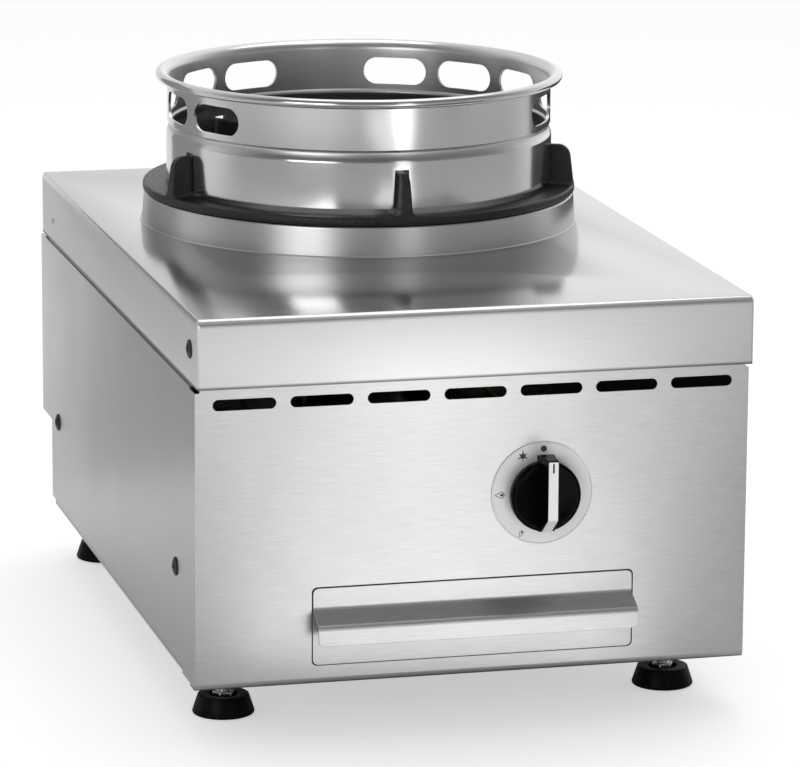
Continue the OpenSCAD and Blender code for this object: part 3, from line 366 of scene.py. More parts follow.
def start(name, place):
    """A new piece that is one point, ready to be drawn out."""
    deselect()
    bpy.ops.mesh.primitive_plane_add(size=MM, location=place)
    piece = bpy.context.object
    piece.name = name
    piece.data.name = name
    bpy.ops.object.transform_apply(location=True, rotation=True, scale=True)
    bpy.ops.object.mode_set(mode="EDIT")
    bpy.ops.mesh.select_all(action="SELECT")
    bpy.ops.mesh.merge(type="CENTER")
    return piece


def draw_loop(points):
    """Draws a closed line from point to point and leaves all of it selected."""
    for here, there in zip(points, points[1:] + points[:1]):
        bpy.ops.mesh.extrude_region_move(TRANSFORM_OT_translate={"value": Vector(there) - Vector(here)})
    bpy.ops.mesh.select_all(action="SELECT")
    bpy.ops.mesh.remove_doubles(threshold=DRAWN_GAP)


def pick(piece, test):
    """Selects the points whose place passes a test."""
    mesh = bmesh.from_edit_mesh(piece.data)
    for point in mesh.verts:
        point.select = test(point.co)
    mesh.select_flush_mode()
    bmesh.update_edit_mesh(piece.data)


def smooth(sharp=SHARP):
    """Shades the chosen piece smooth over all but its sharp edges."""
    bpy.ops.object.shade_smooth_by_angle(angle=math.radians(sharp))


def close_mesh():
    """Merges seams, turns the faces outward and smooths all but the sharp edges."""
    bpy.ops.mesh.select_all(action="SELECT")
    bpy.ops.mesh.remove_doubles(threshold=SEAM_GAP)
    bpy.ops.mesh.normals_make_consistent(inside=False)
    bpy.ops.object.mode_set(mode="OBJECT")
    smooth()


def turned(name, outline, centre, steps, upright=True):
    """A round piece, turned from the closed outline of its section: pairs of radius and height or depth."""
    if upright:
        places = [(centre[0] + r, centre[1], h) for r, h in outline]
        middle, axis = (centre[0], centre[1], 0.0), (0.0, 0.0, 1.0)
    else:
        places = [(centre[0] + r, h, centre[1]) for r, h in outline]
        middle, axis = (centre[0], 0.0, centre[1]), (0.0, 1.0, 0.0)
    piece = start(name, places[0])
    draw_loop(places)
    bpy.ops.mesh.spin(steps=steps, angle=2*math.pi, center=middle, axis=axis)
    close_mesh()
    return piece


def drawn(name, outline, depth):
    """A straight piece, drawn from the closed outline of its section along one direction."""
    piece = start(name, outline[0])
    draw_loop(outline)
    bpy.ops.mesh.edge_face_add()
    bpy.ops.mesh.extrude_region_move(TRANSFORM_OT_translate={"value": depth})
    close_mesh()
    return piece


def finish_with(piece, kind, **values):
    """Adds a modifier and applies it."""
    choose(piece)
    modifier = piece.modifiers.new(kind.lower(), kind)
    for key, value in values.items():
        setattr(modifier, key, value)
    bpy.ops.object.modifier_apply(modifier=modifier.name)


def round_edges(piece, width, segments=2, sharp=SHARP):
    """Rounds every sharp edge."""
    finish_with(piece, "BEVEL", width=width, segments=segments, limit_method="ANGLE",
                angle_limit=math.radians(sharp), use_clamp_overlap=True)
    smooth(sharp)


def copy_at(piece, name, shift=(0.0, 0.0, 0.0), angle=0.0, centre=(0.0, 0.0, 0.0)):
    """A copy with its own mesh, moved and turned about an upright line."""
    choose(piece)
    bpy.ops.object.duplicate()
    twin = bpy.context.object
    twin.name = name
    twin.data.name = name
    if angle:
        bpy.ops.transform.rotate(value=-angle, orient_axis="Z", center_override=centre)
    twin.location += Vector(shift)
    bpy.ops.object.transform_apply(location=True, rotation=True, scale=True)
    return twin


def join(pieces):
    """Makes one piece of several."""
    choose(pieces[0])
    for piece in pieces:
        piece.select_set(True)
    bpy.ops.object.join()
    return bpy.context.object


def cut(piece, cutter, operation="DIFFERENCE"):
    """Cuts one piece with another, or fuses them, and drops the tool."""
    finish_with(piece, "BOOLEAN", operation=operation, solver="EXACT", object=cutter)
    bpy.data.objects.remove(cutter)


def arc(centre, radius, first, last, steps):
    """Points along an arc, angles in degrees."""
    angles = [math.radians(first + (last - first)*i/steps) for i in range(steps + 1)]
    return [(centre[0] + radius*math.cos(a), centre[1] + radius*math.sin(a)) for a in angles]


def dress(piece, finish, slot, body, *stands_for):
    """Gives a piece its finish, the body it moves with and the nodes it stands for."""
    give(piece, finish)
    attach(piece, body)
    if stands_for:
        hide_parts(*stands_for)


def corners_of(node):
    """Lowest and highest corner of a node's box."""
    return [Vector(c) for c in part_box(node)]


def middle_of(node):
    """Middle of a node's box."""
    low, high = corners_of(node)
    return (low + high)/2


# Wok ring

RING_R = 146*MM
RING_WALL = 2*MM
RING_TURN = math.radians(-1.3)
RING_STEP = 0.9*MM
GROOVE_H = 10.4*MM
GROOVE_SHARE = 0.465
# Height from the groove's middle and depth of the press, in millimetres
GROOVE = ((-4.2, 0.0), (-3.6, 0.06), (-2.8, 0.3), (-1.5, 0.8), (0.0, 1.4),
          (1.5, 2.0), (3.0, 2.3), (3.9, 2.05), (4.5, 1.4), (5.2, 0.9))
RIM_R = 3.5*MM
RIM_END = -160.0
SLOT_H = 21*MM
SLOT_WEB = 11.2*MM
SLOT_PITCH = math.radians(24)
SLOT_LIFT = 4*MM
SLOTS_A_SIDE = 5
SLOT_POINTS = 32
NOTCH_H = 28.6*MM
NOTCH_TOP_W = 10.5*MM
NOTCH_FOOT_W = 13*MM
FINS = 5
RING_STEPS = 240
TOOL_DEPTH = 6*RING_WALL


def ring_outline(low, high):
    """Section of the ring's sheet: foot, pressed groove, flared top and rolled rim."""
    foot, top = low.z, high.z
    groove_z = foot + (top - foot)*GROOVE_SHARE
    rim_x = (high.x - low.x)/2 - RIM_R
    inside = RING_R - RING_WALL
    flare = rim_x - inside + RING_STEP
    press = [(depth*MM, groove_z + rise*MM) for rise, depth in GROOVE]
    inner = [(inside, foot)] + [(inside - d, z) for d, z in press]
    inner += arc((rim_x, top - flare), flare, 180, 90, 8)[:-1]
    inner += arc((rim_x, top - RIM_R), RIM_R, 90, RIM_END, 14)
    outer = arc((rim_x, top - RIM_R), RIM_R - RING_WALL, RIM_END, 90, 10)[:-1]
    outer += arc((rim_x, top - flare), flare - RING_WALL, 90, 180, 6)
    outer += [(RING_R - d, z) for d, z in reversed(press)] + [(RING_R, foot)]
    return inner + outer


def slot_tools(centre, groove_z):
    """Ten rounded slot cutters, five to each side of the back."""
    length = RING_R*SLOT_PITCH - SLOT_WEB
    slot_z = groove_z + GROOVE_H/2 + SLOT_LIFT + SLOT_H/2
    reach = (length - SLOT_H)/2
    deselect()
    bpy.ops.mesh.primitive_circle_add(vertices=SLOT_POINTS, radius=SLOT_H/2, fill_type="NGON",
                                      rotation=(math.pi/2, math.pi/SLOT_POINTS, 0.0),
                                      location=(centre.x, centre.y + RING_R - TOOL_DEPTH/2, slot_z))
    tool = bpy.context.object
    bpy.ops.object.transform_apply(location=True, rotation=True, scale=True)
    bpy.ops.object.mode_set(mode="EDIT")
    for side in (-1, 1):
        pick(tool, lambda p: (p.x - centre.x)*side > 0)
        bpy.ops.transform.translate(value=(side*reach, 0.0, 0.0))
    bpy.ops.mesh.select_all(action="SELECT")
    bpy.ops.mesh.extrude_region_move(TRANSFORM_OT_translate={"value": (0.0, TOOL_DEPTH, 0.0)})
    close_mesh()
    turns = [side*SLOT_PITCH*(i + 1) + RING_TURN for side in (-1, 1) for i in range(SLOTS_A_SIDE)]
    tools = [copy_at(tool, "slot_tool", angle=turn, centre=centre) for turn in turns]
    bpy.data.objects.remove(tool)
    return tools


def notch_tools(centre, foot):
    """Cutters for the notches that drop over the fins."""
    y = centre.y - RING_R - 2*RING_WALL
    shape = [(-NOTCH_FOOT_W/2, -MM), (-NOTCH_TOP_W/2, NOTCH_H),
             (NOTCH_TOP_W/2, NOTCH_H), (NOTCH_FOOT_W/2, -MM)]
    tool = drawn("notch_tool", [(centre.x + x, y, foot + z) for x, z in shape], (0.0, TOOL_DEPTH, 0.0))
    turns = [2*math.pi*i/FINS + RING_TURN for i in range(FINS)]
    tools = [copy_at(tool, "notch_tool", angle=turn, centre=centre) for turn in turns]
    bpy.data.objects.remove(tool)
    return tools


def make_wok_ring():
    """Spun ring with its slots and with the notches over the fins."""
    low, high = corners_of("wok_ring")
    centre = (low + high)/2
    groove_z = low.z + (high.z - low.z)*GROOVE_SHARE
    ring = turned("spun_ring", ring_outline(low, high), centre, RING_STEPS)
    cut(ring, join(slot_tools(centre, groove_z) + notch_tools(centre, low.z)))
    choose(ring)
    smooth()
    dress(ring, spun_steel, "polished_steel", "wok_ring", "wok_ring")


# Pan support

CAST_GRID = 0.75*MM
CAST_WEAR = 0.5
CAST_WEAR_ROUNDS = 2
CAST_FACES_SHARE = 0.4


def make_pan_support():
    """The casting with its edges worn round by the sand."""
    choose(nodes["pan_support"])
    bpy.ops.object.duplicate()
    casting = bpy.context.object
    casting.name = "cast_support"
    casting.data.name = "cast_support"
    bpy.ops.object.mode_set(mode="EDIT")
    bpy.ops.mesh.select_all(action="SELECT")
    bpy.ops.mesh.remove_doubles(threshold=DRAWN_GAP)
    bpy.ops.object.mode_set(mode="OBJECT")
    finish_with(casting, "REMESH", mode="VOXEL", voxel_size=CAST_GRID, use_smooth_shade=True)
    finish_with(casting, "SMOOTH", factor=CAST_WEAR, iterations=CAST_WEAR_ROUNDS)
    finish_with(casting, "DECIMATE", ratio=CAST_FACES_SHARE)
    dress(casting, black_iron, "cast_iron", "pan_support", "pan_support")


# Drip collar

COLLAR_T = 1.2*MM
COLLAR_EDGE = 2*MM
COLLAR_LEDGE = 14*MM
COLLAR_FLARE = 1.5*MM
COLLAR_LIP = 1.2*MM
COLLAR_STEPS = 192


def make_drip_collar():
    """Pressed collar: a flat ledge, a round upper edge, a flaring wall and a small lip on the cover."""
    low, high = corners_of("drip_collar")
    foot, top = low.z, high.z
    wall = (high.x - low.x)/2 - COLLAR_LIP - COLLAR_FLARE
    throat = wall - COLLAR_LEDGE
    bend = (wall - COLLAR_EDGE, top - COLLAR_EDGE)
    outside = [(throat, top)] + arc(bend, COLLAR_EDGE, 90, 0, 6) + [(wall + COLLAR_FLARE, foot + COLLAR_T)]
    lip = wall + COLLAR_FLARE + COLLAR_LIP
    outside += [(lip - COLLAR_T/3, foot + COLLAR_T), (lip, foot + COLLAR_T*2/3), (lip, foot)]
    inside = [(wall + COLLAR_FLARE - COLLAR_T, foot)]
    inside += arc(bend, COLLAR_EDGE - COLLAR_T, 0, 90, 4) + [(throat, top - COLLAR_T)]
    collar = turned("pressed_collar", outside + inside, (low + high)/2, COLLAR_STEPS)
    dress(collar, pressed_steel, "polished_steel", "case", "drip_collar")


# Control knob and dial

KNOB_R = 25.3*MM
KNOB_BASE_H = 7.5*MM
KNOB_EDGE = 2.5*MM
KNOB_FOOT_EDGE = 0.6*MM
KNOB_STEPS = 96
SCOOP_D = 2.5*MM
GRIP_PAST = 4.2*MM
GRIP_CUT = 12*MM
GRIP_ROOT_D = 2*MM
GRIP_ROOT_W = 12.6*MM
GRIP_FRONT_W = 7.6*MM
GRIP_EDGE = 0.7*MM
INSERT_W = 7*MM
INSERT_T = 0.8*MM
INSERT_PROUD = 0.3*MM
INSERT_EDGE = 0.15*MM
POINTER_TOP = 1.2*MM
POINTER_W = 1.2*MM
POINTER_L = 6.6*MM
PRINT_T = 0.06*MM
DIAL_DISH = 0.4*MM


def grip_side(x, root, back, front, axis, inset):
    """Side outline of the grip: square at its upper end, cut back at its lower end."""
    shape = [(root, KNOB_R + GRIP_PAST), (root, inset - KNOB_R), (back - KNOB_BASE_H + inset, inset - KNOB_R),
             (front + inset, GRIP_CUT + inset - KNOB_R), (front + inset, KNOB_R + GRIP_PAST)]
    return [(x, y, axis.z + z) for y, z in shape]


def make_knob():
    """Round knob with a dished face and a grip across it; gives its axis, back and front."""
    low, high = corners_of("control_knob")
    dial = middle_of("dial_plate")
    axis = Vector((dial.x, 0.0, dial.z))
    back, front = high.y, low.y
    scoop_span = KNOB_R - KNOB_EDGE
    scoop_r = (scoop_span**2 + SCOOP_D**2)/(2*SCOOP_D)
    face = back - KNOB_BASE_H
    dish_end = math.degrees(math.asin(scoop_span/scoop_r))
    skirt = [(0.0, back), (KNOB_R - KNOB_FOOT_EDGE, back), (KNOB_R, back - KNOB_FOOT_EDGE)]
    skirt += arc((scoop_span, face + KNOB_EDGE), KNOB_EDGE, 0, -90, 8)
    dish = arc((0.0, face + SCOOP_D - scoop_r), scoop_r, 90 - dish_end, 90, 10)
    knob = turned("moulded_knob", skirt + dish[1:], (axis.x, axis.z), KNOB_STEPS, upright=False)
    side = grip_side(axis.x - GRIP_ROOT_W/2, back - GRIP_ROOT_D, back, front, axis, INSERT_PROUD)
    grip = drawn("grip", side, (GRIP_ROOT_W, 0.0, 0.0))
    bpy.ops.object.mode_set(mode="EDIT")
    pick(grip, lambda p: p.y < front + MM)
    bpy.ops.transform.resize(value=(GRIP_FRONT_W/GRIP_ROOT_W, 1.0, 1.0))
    close_mesh()
    round_edges(grip, GRIP_EDGE, 3)
    cut(knob, grip, "UNION")
    choose(knob)
    smooth()
    dress(knob, gloss_black, "knob_plastic", "control_knob", "control_knob")
    return axis, back, front


def make_insert(axis, back, front):
    """Silver strip along the grip's front edge and down its cut end, with a black pointer line."""
    left = axis.x - INSERT_W/2
    face = front + PRINT_T
    outer = grip_side(left, back, back, face, axis, 0.0)
    inner = grip_side(left, back, back, face, axis, INSERT_T)
    lift = Vector((0.0, 0.0, -INSERT_T))
    loop = [outer[2], outer[3], Vector(outer[4]) + lift, Vector(inner[4]) + lift, inner[3], inner[2]]
    strip = drawn("silver_strip", [tuple(p) for p in loop], (INSERT_W, 0.0, 0.0))
    round_edges(strip, INSERT_EDGE, sharp=20.0)
    dress(strip, insert_silver, "dial_metal", "control_knob", "knob_insert")
    top = axis.z + KNOB_R + GRIP_PAST - INSERT_T - POINTER_TOP
    edges = axis.x - POINTER_W/2, axis.x + POINTER_W/2
    loop = [(x, face, top) for x in edges] + [(x, face, top - POINTER_L) for x in reversed(edges)]
    line = drawn("pointer_line", loop, (0.0, -PRINT_T, 0.0))
    round_edges(line, PRINT_T/3, 1)
    dress(line, pointer_ink, "knob_plastic", "control_knob")


# Tray handle and plate

TRAY_SHEET = 1.2*MM
HANDLE_STRIP = 14.9*MM
HANDLE_REACH = 17.6*MM
HANDLE_FALL = 6.4*MM
HANDLE_FOLD_R = 5*MM
HANDLE_HOLLOW_R = 2.5*MM
HANDLE_CORNER = 4*MM
HANDLE_EDGE = 0.2*MM


def make_tray_handle():
    """Folded handle: strip on the plate, a shallow slope and a hanging lip with round corners."""
    low, high = corners_of("tray_handle")
    face = high.y - TRAY_SHEET
    slope = math.atan(HANDLE_FALL/(HANDLE_REACH - HANDLE_FOLD_R))
    lean = math.degrees(slope)
    slope_z = high.z - HANDLE_STRIP
    fold_y = HANDLE_FOLD_R - HANDLE_REACH
    fold = (fold_y, slope_z - HANDLE_FOLD_R/math.cos(slope) + fold_y*math.tan(slope))
    hollow = (-HANDLE_HOLLOW_R, slope_z + HANDLE_HOLLOW_R*math.tan((math.pi/2 - slope)/2))
    outside = [(0.0, high.z)] + arc(hollow, HANDLE_HOLLOW_R, 0, lean - 90, 6)
    outside += arc(fold, HANDLE_FOLD_R, 90 + lean, 180, 12) + [(-HANDLE_REACH, low.z)]
    inside = [(TRAY_SHEET - HANDLE_REACH, low.z)] + arc(fold, HANDLE_FOLD_R - TRAY_SHEET, 180, 90 + lean, 10)
    inside += arc(hollow, HANDLE_HOLLOW_R + TRAY_SHEET, lean - 90, 0, 6) + [(TRAY_SHEET, high.z)]
    outline = [(low.x, face + y, z) for y, z in outside + inside]
    handle = drawn("folded_handle", outline, (high.x - low.x, 0.0, 0.0))
    bpy.ops.object.mode_set(mode="EDIT")
    for edge_z in (low.z, high.z):
        for edge_x in (low.x, high.x):
            pick(handle, lambda p: abs(p.z - edge_z) < NEAR and abs(p.x - edge_x) < NEAR)
            bpy.ops.mesh.bevel(offset=HANDLE_CORNER, segments=6, affect="EDGES")
    close_mesh()
    round_edges(handle, HANDLE_EDGE, sharp=50.0)
    dress(handle, brushed_front, "brushed_case", "drip_tray", "tray_handle")


PLATE_R = 4*MM
PLATE_RIGHT = 0.7*MM
PLATE_DOWN = 0.3*MM
PLATE_EDGE = 0.25*MM


def make_tray_plate():
    """Front plate of the tray, hanging low and to the right in its opening."""
    low, high = corners_of("tray_front")
    right, foot = high.x + PLATE_RIGHT, low.z - PLATE_DOWN
    corners = arc((right - PLATE_R, high.z - PLATE_R), PLATE_R, 0, 90, 8)
    corners += arc((low.x + PLATE_R, high.z - PLATE_R), PLATE_R, 90, 180, 8)
    corners += arc((low.x + PLATE_R, foot + PLATE_R), PLATE_R, 180, 270, 8)
    corners += arc((right - PLATE_R, foot + PLATE_R), PLATE_R, 270, 360, 8)
    plate = drawn("tray_plate", [(x, low.y, z) for x, z in corners], (0.0, high.y - low.y, 0.0))
    round_edges(plate, PLATE_EDGE)
    dress(plate, brushed_front, "brushed_case", "drip_tray", "tray_front")


# Feet

FOOT_R = 22.3*MM
FOOT_TOP_R = 18.5*MM
FOOT_RECESS_R = 10.5*MM
FOOT_RECESS_D = 5*MM
FOOT_ROUND = 1.6*MM
PAD_STEPS = 72
STUD_R = 5*MM
STUD_PITCH = 1.5*MM
STUD_THREAD_D = 0.8*MM
STUD_HEX_R = 8.2*MM
STUD_HEX_H = 7*MM
STUD_HEX_EDGE = 0.5*MM
STUD_STEPS = 36
FEET = ("front_left", "rear_left", "front_right", "rear_right")


def pad_outline(height):
    """Section of a pad: round lower edge, sloping side and a hollow top."""
    side = math.degrees(math.atan((FOOT_R - FOOT_TOP_R)/height))
    edge = FOOT_ROUND/2
    return ([(0.0, 0.0)] + arc((FOOT_R - FOOT_ROUND, FOOT_ROUND), FOOT_ROUND, -90, side, 6)
            + arc((FOOT_TOP_R - edge, height - edge), edge, side, 90, 4)
            + arc((FOOT_RECESS_R + edge, height - edge), edge, 90, 180, 4)
            + [(FOOT_RECESS_R, height - FOOT_RECESS_D), (0.0, height - FOOT_RECESS_D)])


def stud_outline(low, high):
    """Section of a stud with its thread."""
    turns = int((high - low - STUD_HEX_H)/STUD_PITCH) - 1
    first = low + STUD_HEX_H
    thread = [(STUD_R - STUD_THREAD_D*(i % 2), first + STUD_PITCH*i/2) for i in range(2*turns + 1)]
    return [(0.0, low), (STUD_R, low)] + thread + [(STUD_R - STUD_THREAD_D, high), (0.0, high)]


def hex_nut(centre, low):
    """Hexagon with round corners at the foot of the stud."""
    corners = arc((centre.x, centre.y), STUD_HEX_R, 0, 300, 5)
    nut = drawn("hexagon", [(x, y, low) for x, y in corners], (0.0, 0.0, STUD_HEX_H))
    round_edges(nut, STUD_HEX_EDGE)
    return nut


def make_feet():
    """One pad and one stud, copied to the other three corners."""
    first = FEET[0]
    pad_top = corners_of(first + "_pad")[1].z
    stud_low, stud_high = [c.z for c in corners_of(first + "_stud")]
    centre = middle_of(first + "_pad")
    pad = turned(first + "_rubber", pad_outline(pad_top), centre, PAD_STEPS)
    stud = turned(first + "_thread", stud_outline(stud_low, stud_high), centre, STUD_STEPS)
    stud = join([stud, hex_nut(centre, stud_low)])
    for name in FEET:
        shift = middle_of(name + "_pad") - centre
        here = name == first
        own_pad = pad if here else copy_at(pad, name + "_rubber", shift)
        own_stud = stud if here else copy_at(stud, name + "_thread", shift)
        dress(own_pad, satin_black, "foot_plastic", name + "_foot", name + "_pad")
        dress(own_stud, bright_zinc, "zinc_steel", name + "_foot", name + "_stud")


# Top cover

SHEET = 1.5*MM
COVER_FRONT_R = 6*MM
COVER_SIDE_R = 2*MM
COVER_EDGE = 0.4*MM
THROAT_POINTS = 160


def make_top_cover():
    """Folded cover: wide bends at the front and back, tight ones at the sides, open below."""
    low, high = corners_of("top_cover")
    collar_low, collar_high = corners_of("drip_collar")
    throat = (collar_high.x - collar_low.x)/2 - COLLAR_LIP - COLLAR_FLARE - COLLAR_LEDGE
    ring_centre = middle_of("drip_collar")
    deselect()
    bpy.ops.mesh.primitive_cube_add(size=1.0, location=(low + high)/2, scale=high - low)
    cover = bpy.context.object
    cover.name = "folded_cover"
    cover.data.name = "folded_cover"
    bpy.ops.object.transform_apply(location=True, rotation=True, scale=True)
    bpy.ops.object.mode_set(mode="EDIT")
    pick(cover, lambda p: p.z < low.z + MM)
    bpy.ops.mesh.delete(type="ONLY_FACE")
    for edge_y in (low.y, high.y):
        pick(cover, lambda p: p.z > high.z - MM and abs(p.y - edge_y) < MM)
        bpy.ops.mesh.bevel(offset=COVER_FRONT_R, segments=10, affect="EDGES")
    for edge_x in (low.x, high.x):
        pick(cover, lambda p: abs(p.x - edge_x) < NEAR)
        bpy.ops.mesh.region_to_loop()
        bpy.ops.mesh.bevel(offset=COVER_SIDE_R, segments=4, affect="EDGES")
    close_mesh()
    deselect()
    bpy.ops.mesh.primitive_circle_add(vertices=THROAT_POINTS, radius=throat, fill_type="NGON",
                                      location=(ring_centre.x, ring_centre.y, low.z))
    bpy.ops.object.mode_set(mode="EDIT")
    bpy.ops.mesh.extrude_region_move(TRANSFORM_OT_translate={"value": (0.0, 0.0, 2*(high.z - low.z))})
    bpy.ops.mesh.select_all(action="SELECT")
    bpy.ops.mesh.normals_make_consistent(inside=False)
    bpy.ops.object.mode_set(mode="OBJECT")
    hole = bpy.context.object
    finish_with(cover, "SOLIDIFY", thickness=SHEET, offset=-1.0, use_even_offset=True)
    cut(cover, hole)
    round_edges(cover, COVER_EDGE, sharp=50.0)
    dress(cover, brushed_lid, "brushed_case", "case", "top_cover")


# Marks on the dial

# Places to the right of the knob's axis and above it, in millimetres
MARKS = {"off_dot": (0.7, 32.1), "spark_mark": (-14.5, 27.4),
         "high_flame": (-30.0, 0.1), "low_flame": (-14.8, -28.1)}
DOT_R = 2.25*MM
STAR_LONG = 4.6
STAR_SHORT = 3.6
STAR_HOLLOW = 1.5
FLAME_R = {"high_flame": 2.5*MM, "low_flame": 1.8*MM}
FLAME_LINE_SHARE = 0.18
FLAME_CORE_SHARE = 0.42
FLAME_CORE_BACK_SHARE = 0.3
FLAME_TIP_SHARE = 0.9
FLAME_NARROW_SHARE = 0.45


def mark_place(name, face, axis):
    """Where a mark sits on the dial's face."""
    x, z = MARKS[name]
    return Vector((axis.x + x*MM, face, axis.z + z*MM))


def upright_disc(name, centre, points, radius):
    """A flat disc that faces the front."""
    deselect()
    bpy.ops.mesh.primitive_circle_add(vertices=points, radius=radius, fill_type="NGON",
                                      rotation=(math.pi/2, 0.0, 0.0), location=centre)
    disc = bpy.context.object
    disc.name = name
    disc.data.name = name
    bpy.ops.object.transform_apply(location=True, rotation=True, scale=True)
    bpy.ops.object.mode_set(mode="EDIT")
    return disc


def print_mark(mark):
    """Gives a mark its slight thickness and its ink."""
    bpy.ops.mesh.select_all(action="SELECT")
    bpy.ops.mesh.extrude_region_move(TRANSFORM_OT_translate={"value": (0.0, -PRINT_T, 0.0)})
    close_mesh()
    dress(mark, dial_ink, "knob_plastic", "case")


def make_dot(face, axis):
    """Round dot at the off place."""
    print_mark(upright_disc("off_dot", mark_place("off_dot", face, axis), 32, DOT_R))


def make_spark(face, axis):
    """Star with three long and three short points."""
    centre = mark_place("spark_mark", face, axis)
    star = upright_disc("spark_mark", centre, 12, MM)
    mesh = bmesh.from_edit_mesh(star.data)
    order = sorted(mesh.verts, key=lambda v: math.atan2(v.co.z - centre.z, v.co.x - centre.x))
    for i, point in enumerate(order):
        reach = (STAR_LONG, STAR_HOLLOW, STAR_SHORT, STAR_HOLLOW)[i % 4]
        point.co = centre + (point.co - centre)*reach
    bmesh.update_edit_mesh(star.data)
    print_mark(star)


def make_flame(name, face, axis):
    """Drop whose tip points away from the knob: an outline with a small drop inside."""
    x, z = MARKS[name]
    centre = mark_place(name, face, axis)
    outward = Vector((x, 0.0, z)).normalized()
    size = FLAME_R[name]
    drops = ((name, size, 0.0), (name + "_core", size*FLAME_CORE_SHARE, size*FLAME_CORE_BACK_SHARE))
    for part, radius, back in drops:
        middle = centre - outward*back
        drop = upright_disc(part, middle, 32, radius)
        mesh = bmesh.from_edit_mesh(drop.data)
        for point in mesh.verts:
            along = (point.co - middle).dot(outward)/radius
            point.co += outward*radius*FLAME_TIP_SHARE*max(0.0, along)**3
            sideways = point.co - middle - outward*(point.co - middle).dot(outward)
            point.co -= sideways*FLAME_NARROW_SHARE*max(0.0, along)
        bmesh.update_edit_mesh(drop.data)
        if part == name:
            bpy.ops.mesh.select_all(action="SELECT")
            bpy.ops.mesh.inset(thickness=size*FLAME_LINE_SHARE)
            bpy.ops.mesh.delete(type="FACE")
        print_mark(drop)


def make_marks():
    """Marks printed on the dial's dished face, around the knob."""
    axis = middle_of("dial_plate")
    face = corners_of("dial_plate")[0].y + DIAL_DISH
    make_dot(face, axis)
    make_spark(face, axis)
    for name in FLAME_R:
        make_flame(name, face, axis)


make_wok_ring()
make_pan_support()
make_drip_collar()
make_top_cover()
make_insert(*make_knob())
make_tray_handle()
make_tray_plate()
make_feet()
make_marks()


# Studio

BACK_LIGHT = 1.08
FRONT_LIGHT = 0.2
LEFT_LIGHT_SHARE = 0.78
FRONT_LOW_BAND = 0.22
FRONT_HIGH_BAND = 0.36
FLOOR_GLOW = 0.36
FLOOR_CAMERA_GLOW = 0.5
FLOOR_R = 9.0
FLOOR_DROP = 0.5*MM
CAMERA_PLACE = (-0.8616, -3.42419, 0.97621)
CAMERA_YAW = math.radians(-14.41)
CAMERA_PITCH = math.radians(12.6)
CAMERA_ROLL = math.radians(0.38)
CAMERA_FOCAL_PX = 4789.29
PICTURE_W_PX = 800
SENSOR_W = 36.0
UPRIGHT = math.pi/2


def softbox(name, place, turn, width, height, power):
    """A rectangular lamp that lights the burner and stays out of the picture."""
    lamp = bpy.data.lights.new(name, "AREA")
    lamp.shape = "RECTANGLE"
    lamp.size = width
    lamp.size_y = height
    lamp.energy = power
    box = bpy.data.objects.new(name, lamp)
    box.location = place
    box.rotation_euler = turn
    box.visible_camera = False
    bpy.context.scene.collection.objects.link(box)


def facing(place, at):
    """The turn of a lamp at one place that looks at another."""
    return (Vector(at) - Vector(place)).to_track_quat("-Z", "Y").to_euler()


def lying(heading):
    """The turn of a lamp that lies on the table, shines up and runs away from the front."""
    return (math.pi, 0.0, math.radians(heading))


def studio_world():
    """White behind the burner, grey overhead, pale bands low down and high up behind the camera."""
    world = bpy.data.worlds.new("studio")
    bpy.context.scene.world = world
    world.use_nodes = True
    tree = world.node_tree
    back = tree.nodes["Background"]
    back.inputs["Color"].default_value = (1.0, 1.0, 1.0, 1.0)
    depth = combine(tree, "MULTIPLY", across(tree, "Y", -0.4, 0.75, FRONT_LIGHT, BACK_LIGHT, "Generated"),
                    across(tree, "X", 0.12, 0.27, LEFT_LIGHT_SHARE, 1.0, "Generated"))
    ahead = across(tree, "Y", 0.2, -0.6, 0.0, 1.0, "Generated")
    low_down = across(tree, "Z", 0.5, 0.0, 0.0, FRONT_LOW_BAND, "Generated")
    high_up = across(tree, "Z", 0.72, 0.9, 0.0, FRONT_HIGH_BAND, "Generated")
    bands = combine(tree, "MULTIPLY", ahead, combine(tree, "ADD", low_down, high_up))
    light = combine(tree, "ADD", depth, bands)
    path = tree.nodes.new("ShaderNodeLightPath")
    tree.links.new(combine(tree, "MAXIMUM", light, path.outputs["Is Camera Ray"]), back.inputs["Strength"])


def studio_floor():
    """Pale floor that shows white to the camera and still takes the shadow."""
    deselect()
    bpy.ops.mesh.primitive_circle_add(vertices=96, radius=FLOOR_R, fill_type="NGON",
                                      location=(0.0, 0.0, -FLOOR_DROP))
    floor = bpy.context.object
    floor.name = "floor"
    finish, tree, shader = new_finish("floor_white", (0.86, 0.86, 0.86), 0.9)
    shader.inputs["Specular IOR Level"].default_value = 0.1
    shader.inputs["Emission Color"].default_value = (1.0, 1.0, 1.0, 1.0)
    path = tree.nodes.new("ShaderNodeLightPath")
    glow = tree.nodes.new("ShaderNodeMix")
    glow.inputs["B"].default_value = FLOOR_CAMERA_GLOW
    tree.links.new(path.outputs["Is Camera Ray"], glow.inputs["Factor"])
    tree.links.new(across(tree, "Y", -0.3, 1.3, 0.0, FLOOR_GLOW), glow.inputs["A"])
    tree.links.new(glow.outputs["Result"], shader.inputs["Emission Strength"])
    floor.data.materials.append(finish)


def studio_flag(name, place, turn, width, height, grey):
    """Grey board out of the picture that the steel mirrors."""
    deselect()
    bpy.ops.mesh.primitive_plane_add(size=1.0, location=place, rotation=turn)
    flag = bpy.context.object
    flag.name = name
    flag.scale = (width, height, 1.0)
    bpy.ops.object.transform_apply(location=True, rotation=True, scale=True)
    finish, tree, shader = new_finish(name, (grey, grey, grey), 0.9)
    tree.links.new(vary(tree, grain(tree, EVEN, 40.0), 0.85, 0.95), shader.inputs["Roughness"])
    flag.data.materials.append(finish)
    flag.visible_camera = False
    flag.visible_shadow = False
    flag.visible_diffuse = False


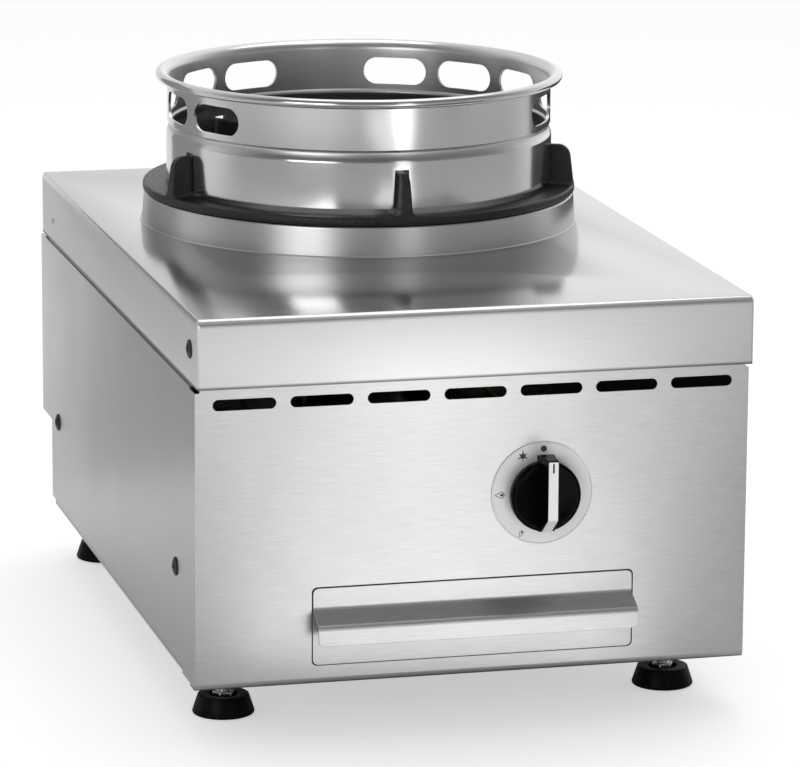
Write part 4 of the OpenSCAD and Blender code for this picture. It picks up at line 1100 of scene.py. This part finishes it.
def studio_camera():
    """Camera at the photograph's place."""
    right = Vector((math.cos(CAMERA_YAW), math.sin(CAMERA_YAW), 0.0))
    level = Vector((-math.sin(CAMERA_YAW), math.cos(CAMERA_YAW), 0.0))
    ahead = level*math.cos(CAMERA_PITCH) - Vector((0.0, 0.0, math.sin(CAMERA_PITCH)))
    up = right.cross(ahead)
    lean, rise = math.sin(CAMERA_ROLL), math.cos(CAMERA_ROLL)
    right, up = rise*right + lean*up, rise*up - lean*right
    lens = bpy.data.cameras.new("photo_view")
    lens.sensor_width = SENSOR_W
    lens.lens = SENSOR_W*CAMERA_FOCAL_PX/PICTURE_W_PX
    lens.clip_end = 50.0
    camera = bpy.data.objects.new("photo_view", lens)
    turn = Matrix((right, up, -ahead)).transposed().to_4x4()
    camera.matrix_world = Matrix.Translation(CAMERA_PLACE) @ turn
    bpy.context.scene.collection.objects.link(camera)
    bpy.context.scene.camera = camera


studio_world()
studio_floor()
studio_flag("left_board", (-0.62, 0.5, 0.35), (UPRIGHT, 0.0, 0.0), width=0.66, height=0.7, grey=0.56)
studio_flag("dark_board", (0.845, 0.755, 0.14), (UPRIGHT, 0.0, math.radians(-50.7)),
            width=1.0, height=0.28, grey=0.08)
studio_flag("right_board", (0.67, -0.68, 0.003), (0.0, 0.0, math.radians(14.2)),
            width=0.6, height=0.9, grey=0.38)
studio_camera()
middle = (0.0, 0.05, 0.3)
overhead_place = (0.35, 0.5, 2.3)
window_place = (-1.35, -1.5, 0.75)
strip_place = (0.42, -1.95, 0.7)
strip_aim = (0.0, -0.28, 0.7)
softbox("overhead", overhead_place, facing(overhead_place, middle), width=1.6, height=1.6, power=10.0)
softbox("left_window", window_place, facing(window_place, middle), width=1.0, height=0.8, power=6.6)
softbox("table_glow", (0.225, -1.2, 0.004), lying(15.3), width=0.3, height=1.6, power=1.78)
softbox("far_glow", (0.24, -2.0, 0.006), lying(15.3), width=0.85, height=1.3, power=2.3)
softbox("front_strip", strip_place, facing(strip_place, strip_aim), width=0.3, height=1.3, power=1.3)
bpy.context.scene.view_settings.view_transform = "Standard"
